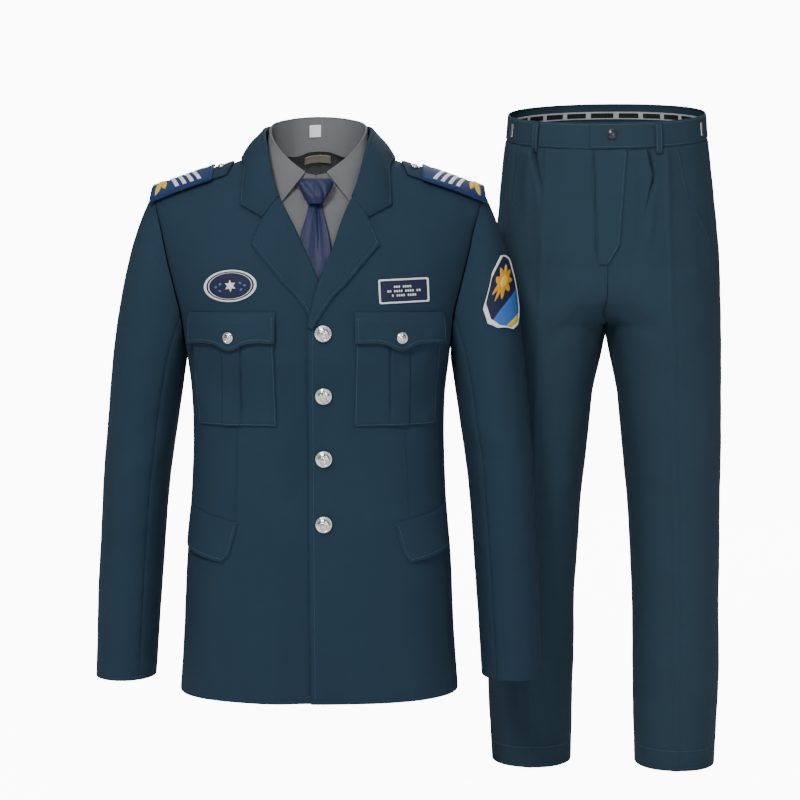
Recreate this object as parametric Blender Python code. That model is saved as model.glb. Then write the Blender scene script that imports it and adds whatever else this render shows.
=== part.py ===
"""Security guard uniform: a filled-out jacket over a shirt and tie, with the trousers standing behind its sleeve.

Metres, +Z up. The jacket faces -Y and +X is the viewer's right. The origin is the centre of the neck at the
height where the shoulders meet it, which is where the wearer's shoulders hold the jacket up.
"""

import math

import bpy
import numpy as np


def table(names, *rows):
    """A short table as named columns. Its first column is the one that the others are read by."""
    return dict(zip(names.split(), np.array(rows, float).T))


# Walls and clearances
WOOL = 0.0020
SHIRTING = 0.0010
TROUSER_CLOTH = 0.0016
SEAM = 0.0003
REST = 0.0005

# Jacket body: rings below the underarm, then a rise from the underarm (0) to the shoulder ridge (1)
UNDERARM = -0.275
HEM = -0.745
SQUARENESS = 2.4
RIDGE_Y = 0.008
BODY = table(
    "height half_width front_depth back_depth",
    (-0.745, 0.1965, 0.1290, 0.1320),
    (-0.640, 0.1900, 0.1280, 0.1310),
    (-0.550, 0.1860, 0.1250, 0.1260),
    (-0.460, 0.1790, 0.1190, 0.1130),
    (-0.380, 0.1765, 0.1160, 0.1060),
    (-0.320, 0.1785, 0.1220, 0.1130),
    (-0.275, 0.1840, 0.1300, 0.1220),
    (-0.235, 0.1920, 0.1300, 0.1220),
)
CHEST = table(
    "rise half_width front_armhole back_armhole",
    (0.00, 0.1840, 90.0, 90.0),
    (0.03, 0.1856, 84.5, 84.5),
    (0.08, 0.1885, 79.0, 78.0),
    (0.14, 0.1920, 74.5, 73.0),
    (0.22, 0.1965, 71.5, 69.0),
    (0.36, 0.2060, 69.5, 66.0),
    (0.56, 0.2195, 68.5, 64.5),
    (0.74, 0.2295, 68.5, 65.0),
    (0.90, 0.2385, 69.5, 67.5),
    (1.00, 0.2430, 70.5, 70.5),
)
RIDGE = table(
    "x height",
    (0.000, 0.0445),
    (0.020, 0.0415),
    (0.040, 0.0320),
    (0.070, 0.0155),
    (0.085, 0.0075),
    (0.110, -0.0020),
    (0.150, -0.0165),
    (0.190, -0.0305),
    (0.231, -0.0450),
    (0.260, -0.0555),
)
FRONT_FALL = (2.6, 1.8)
BACK_FALL = (3.2, 2.0)

# Edge of each front: the lap, the roll line of the lapel, then the neck. x grows towards its own side.
RIGHT_EDGE = table(
    "height x",
    (-0.745, -0.0065),
    (-0.400, -0.0090),
    (-0.262, -0.0090),
    (-0.234, -0.0080),
    (-0.200, -0.0010),
    (-0.178, 0.0055),
    (-0.131, 0.0250),
    (-0.058, 0.0520),
    (-0.030, 0.0690),
    (0.0075, 0.0850),
)
LEFT_EDGE = table(
    "height x",
    (-0.745, -0.0210),
    (-0.400, -0.0210),
    (-0.262, -0.0210),
    (-0.225, -0.0185),
    (-0.175, -0.0040),
    (-0.121, 0.0200),
    (-0.058, 0.0520),
    (-0.030, 0.0690),
    (0.0075, 0.0850),
)
LAP_DEPTH = 0.0056
LAP_FULL = 0.012
LAP_END = 0.055
BACK_NECK = table("rise x", (0.865, 0.0), (0.914, 0.030), (0.949, 0.050), (0.978, 0.068), (1.0, 0.085))

# Sleeves: rings down the arm below the cap
SLEEVE = table(
    "height x y half_width half_depth",
    (-0.7240, 0.2715, -0.022, 0.0420, 0.0520),
    (-0.6200, 0.2668, -0.014, 0.0444, 0.0560),
    (-0.5300, 0.2620, -0.008, 0.0456, 0.0600),
    (-0.4300, 0.2550, -0.002, 0.0475, 0.0640),
    (-0.3400, 0.2448, 0.002, 0.0505, 0.0690),
)
CUFF = -0.724
CAP_END = -0.340
FORE_SEAM = 0.345
HIND_SEAM = 0.690


def smooth(columns, name, at):
    """Reads a column at any value of the first one, on a smooth curve through the rows."""
    x = next(iter(columns.values()))
    y = columns[name]
    slopes = np.gradient(y, x)
    at = np.clip(at, x[0], x[-1])
    i = np.clip(np.searchsorted(x, at) - 1, 0, len(x) - 2)
    h = x[i + 1] - x[i]
    t = (at - x[i]) / h
    start = (1 + 2 * t) * (1 - t) ** 2 * y[i] + t * (1 - t) ** 2 * h * slopes[i]
    end = t**2 * (3 - 2 * t) * y[i + 1] + t**2 * (t - 1) * h * slopes[i + 1]
    return start + end


def signed_power(value, power):
    return np.sign(value) * np.abs(value) ** power


def unit(vectors):
    return vectors / np.linalg.norm(vectors, axis=-1, keepdims=True)


def half_width(rise):
    below = smooth(BODY, "half_width", UNDERARM + np.minimum(rise, 0.0))
    return np.where(rise < 0, below, smooth(CHEST, "half_width", np.clip(rise, 0, 1)))


def body_surface(turn, rise):
    """The jacket's outer surface. turn is in degrees from the front (0) past the side (90) to the back (180).

    rise is metres below the underarm where it is negative, and the share of the way up to the ridge above it.
    """
    turn, rise = np.broadcast_arrays(np.radians(turn), np.asarray(rise, float))
    height = UNDERARM + np.minimum(rise, 0.0)
    share = np.clip(rise, 0.0, 1.0)
    across = signed_power(np.sin(turn), 2 / SQUARENESS)
    forward = signed_power(np.cos(turn), 2 / SQUARENESS)
    front = forward > 0
    depth = np.where(front, smooth(BODY, "front_depth", height), smooth(BODY, "back_depth", height))
    x = across * half_width(rise)
    q = np.where(front, FRONT_FALL[0], BACK_FALL[0])
    p = np.where(front, FRONT_FALL[1], BACK_FALL[1])
    y = RIDGE_Y + (-forward * depth - RIDGE_Y) * (1 - share**q) ** (1 / p)
    z = height + share * (smooth(RIDGE, "height", np.abs(x)) - UNDERARM)
    return np.stack([x, y, z], axis=-1)


def body_normal(turn, rise):
    step = 1e-4
    rise = np.asarray(rise, float)
    along = body_surface(turn + math.degrees(step), rise) - body_surface(turn - math.degrees(step), rise)
    up = body_surface(turn, np.minimum(rise + step, 1.0)) - body_surface(turn, rise - step)
    normals = np.cross(along, up)
    normals[..., 1] = np.where(rise >= 1, 0.0, normals[..., 1])
    return unit(normals)


def rise_at(x, height):
    """How far up the front a point at this x and height is."""
    share = (height - UNDERARM) / (smooth(RIDGE, "height", np.abs(x)) - UNDERARM)
    return np.where(height < UNDERARM, height - UNDERARM, share)


def turn_at(x, rise):
    return np.degrees(np.arcsin(signed_power(np.clip(x / half_width(rise), -1, 1), SQUARENESS / 2)))


def edge_turn(edge, rise):
    """The angle of a front's free edge at each rise."""
    x = np.zeros_like(rise)
    for _ in range(30):
        up = UNDERARM + np.clip(rise, 0, 1) * (smooth(RIDGE, "height", np.abs(x)) - UNDERARM)
        x = smooth(edge, "x", np.where(rise < 0, UNDERARM + rise, up))
    return turn_at(x, rise)


def lap(side, x):
    """How far the under front drops where the other front lies over it."""
    if side > 0:
        return np.zeros_like(x)
    t = np.clip((LAP_END - x) / (LAP_END - LAP_FULL), 0, 1)
    return -LAP_DEPTH * t * t * (3 - 2 * t)


def on_body(side, turn, rise, lift=0.0):
    """Points and normals on the jacket, lifted off it. side is 1 on the viewer's right and -1 on the left."""
    turn, rise = np.broadcast_arrays(np.asarray(turn, float), np.asarray(rise, float))
    points = body_surface(turn, rise)
    normals = body_normal(turn, rise)
    drop = np.where(turn < 90, lap(side, points[..., 0]), 0.0) + lift
    points = points + normals * drop[..., None]
    mirror = np.array([side, 1, 1])
    return points * mirror, normals * mirror


def over(side, x, climb, lift=0.0):
    """The same from x and a climb up the front (to 1 at the ridge) and on down the back (to 2)."""
    x, climb = np.broadcast_arrays(np.asarray(x, float), np.asarray(climb, float))
    rise = np.where(climb > 1, 2 - climb, climb)
    turn = turn_at(x, rise)
    return on_body(side, np.where(climb > 1, 180 - turn, turn), rise, lift)


def on_front(side, x, height, lift=0.0):
    """The same from x and height, for what lies on the front. x grows towards the front's own side."""
    x, height = np.broadcast_arrays(np.asarray(x, float), np.asarray(height, float))
    rise = rise_at(x, height)
    return on_body(side, turn_at(x, rise), rise, lift)


def grid_normals(points, wrap=False):
    along = np.gradient(points, axis=1)
    if wrap:
        along = np.roll(points, -1, axis=1) - np.roll(points, 1, axis=1)
    return unit(np.cross(along, np.gradient(points, axis=0)))


def trimmed(points, first=0.0, last=0.0, bottom=0.0, top=0.0):
    """Draws a sheet's edges in along itself, so that the pieces at a seam keep their gap."""
    points = points.copy()
    points[:, 0] += unit(points[:, 1] - points[:, 0]) * first
    points[:, -1] += unit(points[:, -2] - points[:, -1]) * last
    points[0] += unit(points[1] - points[0]) * bottom
    points[-1] += unit(points[-2] - points[-1]) * top
    return points


def material(name, colour, roughness, metallic=0.0):
    made = bpy.data.materials.new(name)
    made.use_nodes = True
    shader = made.node_tree.nodes["Principled BSDF"]
    shader.inputs["Base Color"].default_value = (*colour, 1.0)
    shader.inputs["Roughness"].default_value = roughness
    shader.inputs["Metallic"].default_value = metallic
    return made


def add_object(name, points, faces, look):
    """One closed solid, turned so that its faces point out."""
    points = np.asarray(points, float)
    corners = [points[[face[0], face[i], face[i + 1]]] for face in faces for i in range(1, len(face) - 1)]
    if np.linalg.det(np.array(corners) - points.mean(axis=0)).sum() < 0:
        faces = [face[::-1] for face in faces]
    mesh = bpy.data.meshes.new(name)
    mesh.from_pydata(points.tolist(), [], [list(map(int, face)) for face in faces])
    mesh.materials.append(look)
    mesh.shade_smooth()
    mesh.set_sharp_from_angle(angle=math.radians(40))
    made = bpy.data.objects.new(name, mesh)
    bpy.context.scene.collection.objects.link(made)
    return made


def shell(name, outer, normals, wall, look):
    """A cloth wall: the outer sheet, the inner one a wall's thickness inside it, and the rims between them.

    Both sheets are split along the same diagonals, so that the wall keeps its thickness.
    """
    rows, columns = outer.shape[:2]
    count = rows * columns
    points = np.concatenate([outer.reshape(-1, 3), outer.reshape(-1, 3) - wall * normals.reshape(-1, 3)])
    index = np.arange(count).reshape(rows, columns)
    a, b, c, d = (part.ravel() for part in (index[:-1, :-1], index[:-1, 1:], index[1:, 1:], index[1:, :-1]))
    across = np.linalg.norm(points[a] - points[c], axis=-1) <= np.linalg.norm(points[b] - points[d], axis=-1)
    first = np.where(across[:, None], np.stack([a, b, c], axis=-1), np.stack([b, c, d], axis=-1))
    second = np.where(across[:, None], np.stack([a, c, d], axis=-1), np.stack([a, b, d], axis=-1))
    sheet = np.concatenate([first, second])
    faces = sheet.tolist() + (sheet[:, ::-1] + count).tolist()
    rim = list(zip(index[0, 1:], index[0, :-1])) + list(zip(index[-1, :-1], index[-1, 1:]))
    rim += list(zip(index[:-1, 0], index[1:, 0])) + list(zip(index[1:, -1], index[:-1, -1]))
    faces += [[i, j, j + count, i + count] for i, j in rim]
    return add_object(name, points, faces, look)


def rises(low, lower_rows):
    """Rows from the hem to the underarm, then one at each point round the armhole up to the ridge."""
    lower = np.linspace(low - UNDERARM, 0, lower_rows, endpoint=False)
    return np.concatenate([lower, UPPER_RISES])


def blend_columns(first, last, count, crowd=1.0):
    """Columns between two edges, closer together near the first where crowd is over 1."""
    return first[:, None] + (last - first)[:, None] * np.linspace(0, 1, count)[None, :] ** crowd


def armhole(which, rise):
    return smooth(CHEST, which, np.clip(rise, 0, 1))


def front_grid(side, lower_rows, columns, low=HEM):
    rise = rises(low, lower_rows)
    first = edge_turn(RIGHT_EDGE if side > 0 else LEFT_EDGE, rise)
    last = np.minimum(FRONT_SEAM, armhole("front_armhole", rise))
    return blend_columns(first, last, columns, 1.4), rise[:, None]


def back_grid(lower_rows, columns, low=HEM):
    rise = rises(low, lower_rows)
    neck = np.where(rise > BACK_NECK["rise"][0], np.interp(rise, BACK_NECK["rise"], BACK_NECK["x"]), 0.0)
    first = 180 - turn_at(neck, rise)
    last = np.maximum(BACK_SEAM, 180 - armhole("back_armhole", rise))
    return blend_columns(first, last, columns), rise[:, None]


def side_grid(lower_rows):
    """The side panel under the arm. Its top is the bottom of the armhole, point for point."""
    climb = UPPER_RISES[SEAM_STEP::-1]
    turn = np.concatenate([armhole("front_armhole", climb), 180 - armhole("back_armhole", climb[::-1][1:])])
    top = np.concatenate([climb, climb[::-1][1:]])
    lower = np.linspace(HEM - UNDERARM, 0, lower_rows, endpoint=False)[:, None] + 0 * turn
    return np.vstack([turn] * (lower_rows + 1)), np.vstack([lower, top])


def body_panel(name, side, turn, rise, wall, look, lift=0.0, **gaps):
    points, normals = on_body(side, turn, rise, lift)
    shell(name, trimmed(points, **gaps), normals, wall, look)


# Points round an armhole, which the body's rows above the underarm meet one by one
ARMHOLE_POINTS = 24
UPPER_RISES = (1 - np.cos(np.linspace(0, math.pi, ARMHOLE_POINTS // 2 + 1))) / 2
SEAM_STEP = 3
FRONT_SEAM = armhole("front_armhole", UPPER_RISES[SEAM_STEP])
BACK_SEAM = 180 - armhole("back_armhole", UPPER_RISES[SEAM_STEP])
BODY_ROWS = 7
CAP_ROWS = 6
ARM_ROWS = 6
FRONT_COLUMNS = 9
HALF = SEAM / 2


def jacket_body(wool):
    for side, word in ((1, "left"), (-1, "right")):
        gaps = {"first": REST, "last": HALF, "top": HALF}
        body_panel("jacket_front_" + word, side, *front_grid(side, BODY_ROWS, FRONT_COLUMNS), WOOL, wool, **gaps)
        body_panel("jacket_side_" + word, side, *side_grid(BODY_ROWS), WOOL, wool, first=HALF, last=HALF)
        gaps = {"first": HALF, "last": HALF, "top": HALF}
        body_panel("jacket_back_" + word, side, *back_grid(BODY_ROWS, 7), WOOL, wool, **gaps)


def armhole_place(share):
    share = share % 1.0
    rise = (1 + np.cos(2 * math.pi * share)) / 2
    return np.where(share <= 0.5, armhole("front_armhole", rise), 180 - armhole("back_armhole", rise)), rise


def armhole_loop(side, share):
    """Points round the armhole from the shoulder, down the front, under the arm and up the back."""
    points, normals = on_body(side, *armhole_place(share))
    ahead, _ = on_body(side, *armhole_place(share + 1e-4))
    behind, _ = on_body(side, *armhole_place(share - 1e-4))
    return points, normals, unit(np.cross(normals, ahead - behind)) * side


def sleeve_surface(side, share, cap, arm):
    """The sleeve's outer surface. share is the way round, cap the way down to CAP_END, arm the heights below it."""
    start, normals, outwards = armhole_loop(side, share)
    swing = 2 * math.pi * share
    top = (1 + np.cos(swing)) / 2
    spread = side * (0.45 * top + 0.12 * (1 - top) + 0.25 * np.sin(swing) ** 2)
    heading = unit(np.stack([spread, -0.35 * np.sin(swing), -0.9 + 0 * top], axis=-1))
    start = start + (normals * (1 - top)[:, None] + outwards) * (SEAM * 1.5)

    def ring(height):
        x = side * (smooth(SLEEVE, "x", height) + smooth(SLEEVE, "half_width", height) * np.cos(swing))
        y = smooth(SLEEVE, "y", height) - smooth(SLEEVE, "half_depth", height) * np.sin(swing)
        return np.stack([x, y, height + 0 * x], axis=-1)

    end = ring(CAP_END)
    fall = unit(ring(CAP_END - 0.01) - end)
    length = np.linalg.norm(end - start, axis=-1)[:, None]
    rows = []
    for t in cap:
        leave = (1 + 2 * t) * (1 - t) ** 2 * start + t * (1 - t) ** 2 * length * heading
        rows.append(leave + t * t * (3 - 2 * t) * end + t * t * (t - 1) * length * fall)
    rows += [ring(height) for height in arm]
    return np.array(rows), outwards


def sleeve(side, word, wool):
    share = np.arange(ARMHOLE_POINTS) / ARMHOLE_POINTS
    arm = np.linspace(CAP_END, CUFF, ARM_ROWS)[1:]
    points, outwards = sleeve_surface(side, share, np.linspace(0, 1, CAP_ROWS), arm)
    normals = grid_normals(points, wrap=True) * side
    inwards = np.maximum((normals[0] * outwards).sum(axis=-1), 0)[:, None]
    normals[0] = unit(normals[0] - inwards * outwards)
    fore = round(FORE_SEAM * ARMHOLE_POINTS)
    hind = round(HIND_SEAM * ARMHOLE_POINTS)
    under = list(range(fore, hind + 1))
    upper = [j % ARMHOLE_POINTS for j in range(hind, fore + ARMHOLE_POINTS + 1)]
    for name, chosen in (("top", upper), ("under", under)):
        sheet = trimmed(points[:, chosen], first=HALF, last=HALF)
        shell(f"sleeve_{name}_{word}", sheet, normals[:, chosen], WOOL, wool)


# Lapels, from the top button up to the gorge: where each row meets the roll line, and where it ends
LAPEL = table(
    "row roll_height edge_x edge_height roll",
    (0, -0.2330, -0.0030, -0.2360, 0.0013),
    (1, -0.2160, 0.0080, -0.2180, 0.0013),
    (2, -0.1900, 0.0265, -0.1905, 0.0014),
    (3, -0.1680, 0.0420, -0.1760, 0.0018),
    (4, -0.1360, 0.0640, -0.1490, 0.0022),
    (5, -0.1010, 0.0870, -0.1220, 0.0024),
    (6, -0.0780, 0.0790, -0.1040, 0.0022),
    (7, -0.0590, 0.0710, -0.0860, 0.0018),
)
LAPEL_SEAT = WOOL / 2 + REST * 2.4
ROLL_STEPS = 3
LEAF_STEPS = 3

# Collars, from the front end (0) round to the middle of the back: the fold, then the neck seam and the leaf's
# free edge as x and climb on the body
COLLAR = table(
    "row fold_x fold_y fold_z seam_x seam_climb edge_x edge_climb swell",
    (0, 0.0510, -0.0930, -0.0580, 0.0525, 0.722, 0.0710, 0.652, 0.0000),
    (1, 0.0585, -0.0905, -0.0380, 0.0600, 0.777, 0.1030, 0.750, 0.0040),
    (2, 0.0655, -0.0740, -0.0100, 0.0690, 0.842, 0.1015, 0.851, 0.0045),
    (3, 0.0715, -0.0450, 0.0170, 0.0780, 0.919, 0.1000, 0.940, 0.0040),
    (4, 0.0755, -0.0060, 0.0365, 0.0840, 1.000, 0.1070, 1.000, 0.0030),
    (5, 0.0710, 0.0300, 0.0440, 0.0642, 1.022, 0.0990, 1.030, 0.0030),
    (6, 0.0560, 0.0540, 0.0475, 0.0480, 1.051, 0.0820, 1.084, 0.0030),
    (7, 0.0310, 0.0690, 0.0490, 0.0300, 1.086, 0.0450, 1.148, 0.0030),
    (8, 0.0000, 0.0740, 0.0495, 0.0000, 1.135, 0.0000, 1.210, 0.0030),
)
SHIRT_COLLAR = table(
    "row fold_x fold_y fold_z seam_x seam_climb edge_x edge_climb swell",
    (0, 0.0005, -0.0770, -0.0270, 0.0000, 0.717, 0.0005, 0.705, 0.0000),
    (1, 0.0150, -0.0745, -0.0240, 0.0140, 0.706, 0.0500, 0.710, 0.0000),
    (2, 0.0360, -0.0630, -0.0080, 0.0380, 0.790, 0.0680, 0.800, 0.0020),
    (3, 0.0560, -0.0390, 0.0140, 0.0600, 0.910, 0.0790, 0.905, 0.0025),
    (4, 0.0665, -0.0050, 0.0360, 0.0740, 1.000, 0.0790, 0.997, 0.0005),
    (5, 0.0625, 0.0280, 0.0500, 0.0595, 1.022, 0.0655, 1.015, 0.0005),
    (6, 0.0400, 0.0540, 0.0580, 0.0390, 1.060, 0.0400, 1.056, 0.0005),
    (7, 0.0185, 0.0625, 0.0612, 0.0180, 1.067, 0.0185, 1.063, 0.0005),
    (8, 0.0000, 0.0650, 0.0620, 0.0000, 1.069, 0.0000, 1.065, 0.0005),
)
FOLD_RADIUS = 0.0020
SHIRT_FOLD_RADIUS = 0.0012
SHIRT_INSET = 0.0130
STAND_STEPS = 3
COLLAR_STEP = 0.5

# Shirt: its edges on the jacket's body before it is drawn in
SHIRT_HEM = -0.700
SHIRT_ROWS = 7
LABEL_WALL = 0.0008
SHIRT_EDGE = table(
    "height x",
    (-0.745, -0.0165),
    (-0.049, -0.0165),
    (-0.0465, 0.0050),
    (-0.0410, 0.0240),
    (-0.0290, 0.0420),
    (-0.0080, 0.0620),
    (0.0127, 0.0755),
)
SHIRT_LAP = 0.0032
YOKE_ROW = 0.893
YOKE_LABEL = (-0.0262, 0.0178)
SHIRT_NECK = table("rise x", (0.931, 0.0), (0.933, 0.018), (0.940, 0.040), (0.974, 0.062), (1.0, 0.0755))

# Tie: half-widths down the knot, then down the blade
KNOT = table(
    "height half_width half_depth y",
    (-0.0665, 0.0100, 0.0045, -0.0970),
    (-0.0560, 0.0160, 0.0075, -0.0945),
    (-0.0450, 0.0220, 0.0090, -0.0898),
    (-0.0385, 0.0240, 0.0090, -0.0873),
    (-0.0325, 0.0195, 0.0060, -0.0858),
)
BLADE = table(
    "height half_width lift",
    (-0.5000, 0.0300, -0.0088),
    (-0.4600, 0.0390, -0.0088),
    (-0.3500, 0.0370, -0.0088),
    (-0.2200, 0.0320, -0.0088),
    (-0.1500, 0.0265, -0.0088),
    (-0.1250, 0.0230, -0.0088),
    (-0.1050, 0.0195, -0.0086),
    (-0.0740, 0.0115, -0.0092),
    (-0.0655, 0.0100, -0.0095),
)
BLADE_POINT = 0.030
BLADE_WALL = 0.0024


def roll_point(side, height):
    return smooth(RIGHT_EDGE if side > 0 else LEFT_EDGE, "x", height)


def lapel_grid(side, between):
    """Middle of the lapel's wall: from the front's edge over the roll, then out to the free edge."""
    row = np.arange(0, len(LAPEL["row"]) - 1 + 1e-9, 1 / between)
    roll_height = np.interp(row, LAPEL["row"], LAPEL["roll_height"])
    edge_x = np.interp(row, LAPEL["row"], LAPEL["edge_x"])
    edge_height = np.interp(row, LAPEL["row"], LAPEL["edge_height"])
    radius = np.interp(row, LAPEL["row"], LAPEL["roll"])
    roll_x = roll_point(side, roll_height)
    swing = np.linspace(0, math.pi, ROLL_STEPS)
    x = roll_x[:, None] - radius[:, None] * np.sin(swing)
    lift = -WOOL / 2 + radius[:, None] * (1 - np.cos(swing))
    height = roll_height[:, None] + 0 * x
    share = np.linspace(0, 1, LEAF_STEPS + 1)[1:]
    crest = 2 * radius[:, None] - WOOL / 2
    leaf_x = roll_x[:, None] + (edge_x - roll_x)[:, None] * share
    leaf_height = roll_height[:, None] + (edge_height - roll_height)[:, None] * share
    leaf_lift = LAPEL_SEAT + (crest - LAPEL_SEAT) * (1 - share) ** 2
    x = np.hstack([x, leaf_x])
    height = np.hstack([height, leaf_height])
    points, _ = on_front(side, x, height, np.hstack([lift, leaf_lift]))
    return points


def sheet_normals(points, side):
    return grid_normals(points) * side


def centred_shell(name, middle, normals, wall, look):
    """A wall with half of its thickness on each side of the sheet."""
    return shell(name, middle + normals * wall / 2, normals, wall, look)


def lapel(side, word, wool):
    middle = trimmed(lapel_grid(side, 2), first=REST, top=HALF)
    centred_shell("lapel_" + word, middle, sheet_normals(middle, side), WOOL, wool)


def collar_column(columns, name, row):
    """Straight up to the tip of the leaf, and smooth round the neck after it."""
    rest = {"row": columns["row"][1:], name: columns[name][1:]}
    return np.where(row < 1, np.interp(row, columns["row"], columns[name]), smooth(rest, name, np.maximum(row, 1)))


def collar_grid(columns, inset, radius, wall):
    """Middle of a folded collar's wall, from the neck seam up the stand, over the fold and down the leaf."""
    half = np.concatenate([[0.0], np.arange(1, columns["row"][-1] + 1e-9, COLLAR_STEP)])
    row = np.concatenate([half, half[::-1][1:]])
    side = np.where(np.arange(len(row)) < len(half), 1.0, -1.0)
    read = {name: collar_column(columns, name, row) for name in columns}
    mirror = np.stack([side, 1 + 0 * side, 1 + 0 * side], axis=-1)
    seam, _ = over(1, read["seam_x"], read["seam_climb"], -inset - wall / 2)
    edge, _ = over(1, read["edge_x"], read["edge_climb"], -inset + REST * 3 + wall / 2)
    fold = np.stack([read["fold_x"], read["fold_y"], read["fold_z"]], axis=-1)
    seam, edge, fold = seam * mirror, edge * mirror, fold * mirror
    along = unit(np.gradient(fold, axis=0))
    out = fold * np.array([1, 1, 0])
    out = unit(out - (out * along).sum(axis=-1, keepdims=True) * along)
    crest = np.cross(along, out)
    crest = crest * np.sign(crest[len(row) // 2, 2])
    seam = seam - out * (wall / 2 + REST * 5) + crest * REST
    columns_out = []
    for t in np.linspace(0, 1, STAND_STEPS, endpoint=False):
        columns_out.append(seam + (fold - out * radius - seam) * t)
    for swing in np.linspace(0, math.pi, ROLL_STEPS):
        columns_out.append(fold - out * radius * math.cos(swing) + crest * radius * math.sin(swing))
    fall = edge - fold - out * radius
    bulge = unit(np.cross(along, fall))
    bulge = bulge * np.sign((bulge * out).sum(axis=-1, keepdims=True))
    for t in np.linspace(0, 1, LEAF_STEPS + 1)[1:]:
        lift = bulge * (read["swell"] * math.sin(math.pi * t))[:, None]
        columns_out.append(fold + out * radius + fall * t + lift)
    return np.stack(columns_out, axis=1)


def jacket_collar(wool):
    middle = collar_grid(COLLAR, 0.0, FOLD_RADIUS, WOOL)
    middle = trimmed(middle, bottom=REST, top=REST)
    centred_shell("jacket_collar", middle, grid_normals(middle), WOOL, wool)


def shirt_collar(shirting):
    middle = collar_grid(SHIRT_COLLAR, SHIRT_INSET, SHIRT_FOLD_RADIUS, SHIRTING)
    normals = grid_normals(middle)
    stand = trimmed(middle[:, : STAND_STEPS + 1], last=HALF)
    fall = trimmed(middle[1:-1, STAND_STEPS:], first=HALF)
    centred_shell("shirt_collar_stand", stand, normals[:, : STAND_STEPS + 1], SHIRTING, shirting)
    centred_shell("shirt_collar_fall", fall, normals[1:-1, STAND_STEPS:], SHIRTING, shirting)


def edge_of(edge, rise):
    """x of an edge that runs straight between the rows of its table, at each rise."""
    x = np.zeros_like(rise)
    for _ in range(40):
        up = UNDERARM + np.clip(rise, 0, 1) * (smooth(RIDGE, "height", np.abs(x)) - UNDERARM)
        x = np.interp(np.where(rise < 0, UNDERARM + rise, up), edge["height"], edge["x"])
    return x


def shirt_back_turns(rise):
    neck = np.where(rise > SHIRT_NECK["rise"][0], np.interp(rise, SHIRT_NECK["rise"], SHIRT_NECK["x"]), 0.0)
    return blend_columns(180 - turn_at(neck, rise), 180 - armhole("back_armhole", rise), 5)


def shirt_body(shirting):
    low = np.linspace(SHIRT_HEM - UNDERARM, 0, SHIRT_ROWS, endpoint=False)
    neck_rows = SHIRT_NECK["rise"][[0, 2]]
    rise = np.sort(np.concatenate([low, UPPER_RISES[:8:2], UPPER_RISES[8:], [YOKE_ROW], neck_rows]))
    under = {"height": SHIRT_EDGE["height"], "x": np.where(SHIRT_EDGE["x"] < 0, -0.006, SHIRT_EDGE["x"])}
    for side, word, edge, lift in ((1, "left", SHIRT_EDGE, 0.0), (-1, "right", under, -SHIRT_LAP)):
        turn = blend_columns(turn_at(edge_of(edge, rise), rise), armhole("front_armhole", rise), 7, 1.3)
        points, normals = on_body(1, turn, rise[:, None], -SHIRT_INSET)
        fade = np.clip((LAP_END - points[..., 0]) / (LAP_END - 2 * LAP_FULL), 0, 1)[..., None]
        points = (points + normals * lift * fade) * np.array([side, 1, 1])
        normals = normals * np.array([side, 1, 1])
        shell("shirt_front_" + word, trimmed(points, last=HALF, top=HALF), normals, SHIRTING, shirting)
    for side, word in ((1, "left"), (-1, "right")):
        points, normals = on_body(side, shirt_back_turns(rise), rise[:, None], -SHIRT_INSET)
        points = trimmed(points, first=HALF, last=HALF, top=HALF)
        shell("shirt_back_" + word, points, normals, SHIRTING, shirting)


def shirt_labels(label_cloth):
    """Two labels inside the neck: one on the stand of the collar, and one on the back below it."""
    middle = collar_grid(SHIRT_COLLAR, SHIRT_INSET, SHIRT_FOLD_RADIUS, SHIRTING)
    centre = len(middle) // 2
    inside = grid_normals(middle)[centre, 0]
    inside = inside * -np.sign(inside[1])
    seam, fold = middle[centre, 0], middle[centre, STAND_STEPS]
    next_seam, next_fold = middle[centre - 2, 0], middle[centre - 2, STAND_STEPS]
    across = np.array([-0.0145, -0.0065, 0.0015])
    up = np.array([0.42, 0.78])[:, None]
    reach = (np.abs(across) / next_seam[0])[None, :, None]
    low = seam + (next_seam - seam) * reach
    high = fold + (next_fold - fold) * reach
    points = low + (high - low) * up[..., None]
    points[..., 0] = across
    points = points + inside * (SHIRTING / 2 + REST + LABEL_WALL)
    shell("collar_label", points, np.broadcast_to(inside, points.shape), LABEL_WALL, label_cloth)
    rise = np.array([YOKE_ROW, SHIRT_NECK["rise"][0]])
    back, out = on_body(1, shirt_back_turns(rise), rise[:, None], -SHIRT_INSET - SHIRTING - REST)
    x = np.linspace(YOKE_LABEL[0], YOKE_LABEL[1], 5)
    share = (np.abs(x) / back[:, 1:2, 0])[..., None]
    points = back[:, :1] + (back[:, 1:2] - back[:, :1]) * share
    normals = unit(out[:, :1] + (out[:, 1:2] - out[:, :1]) * share)
    points[..., 0] = np.sign(x) * points[..., 0]
    normals[..., 0] = np.sign(x) * normals[..., 0]
    shell("yoke_label", points, normals, LABEL_WALL, label_cloth)


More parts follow.
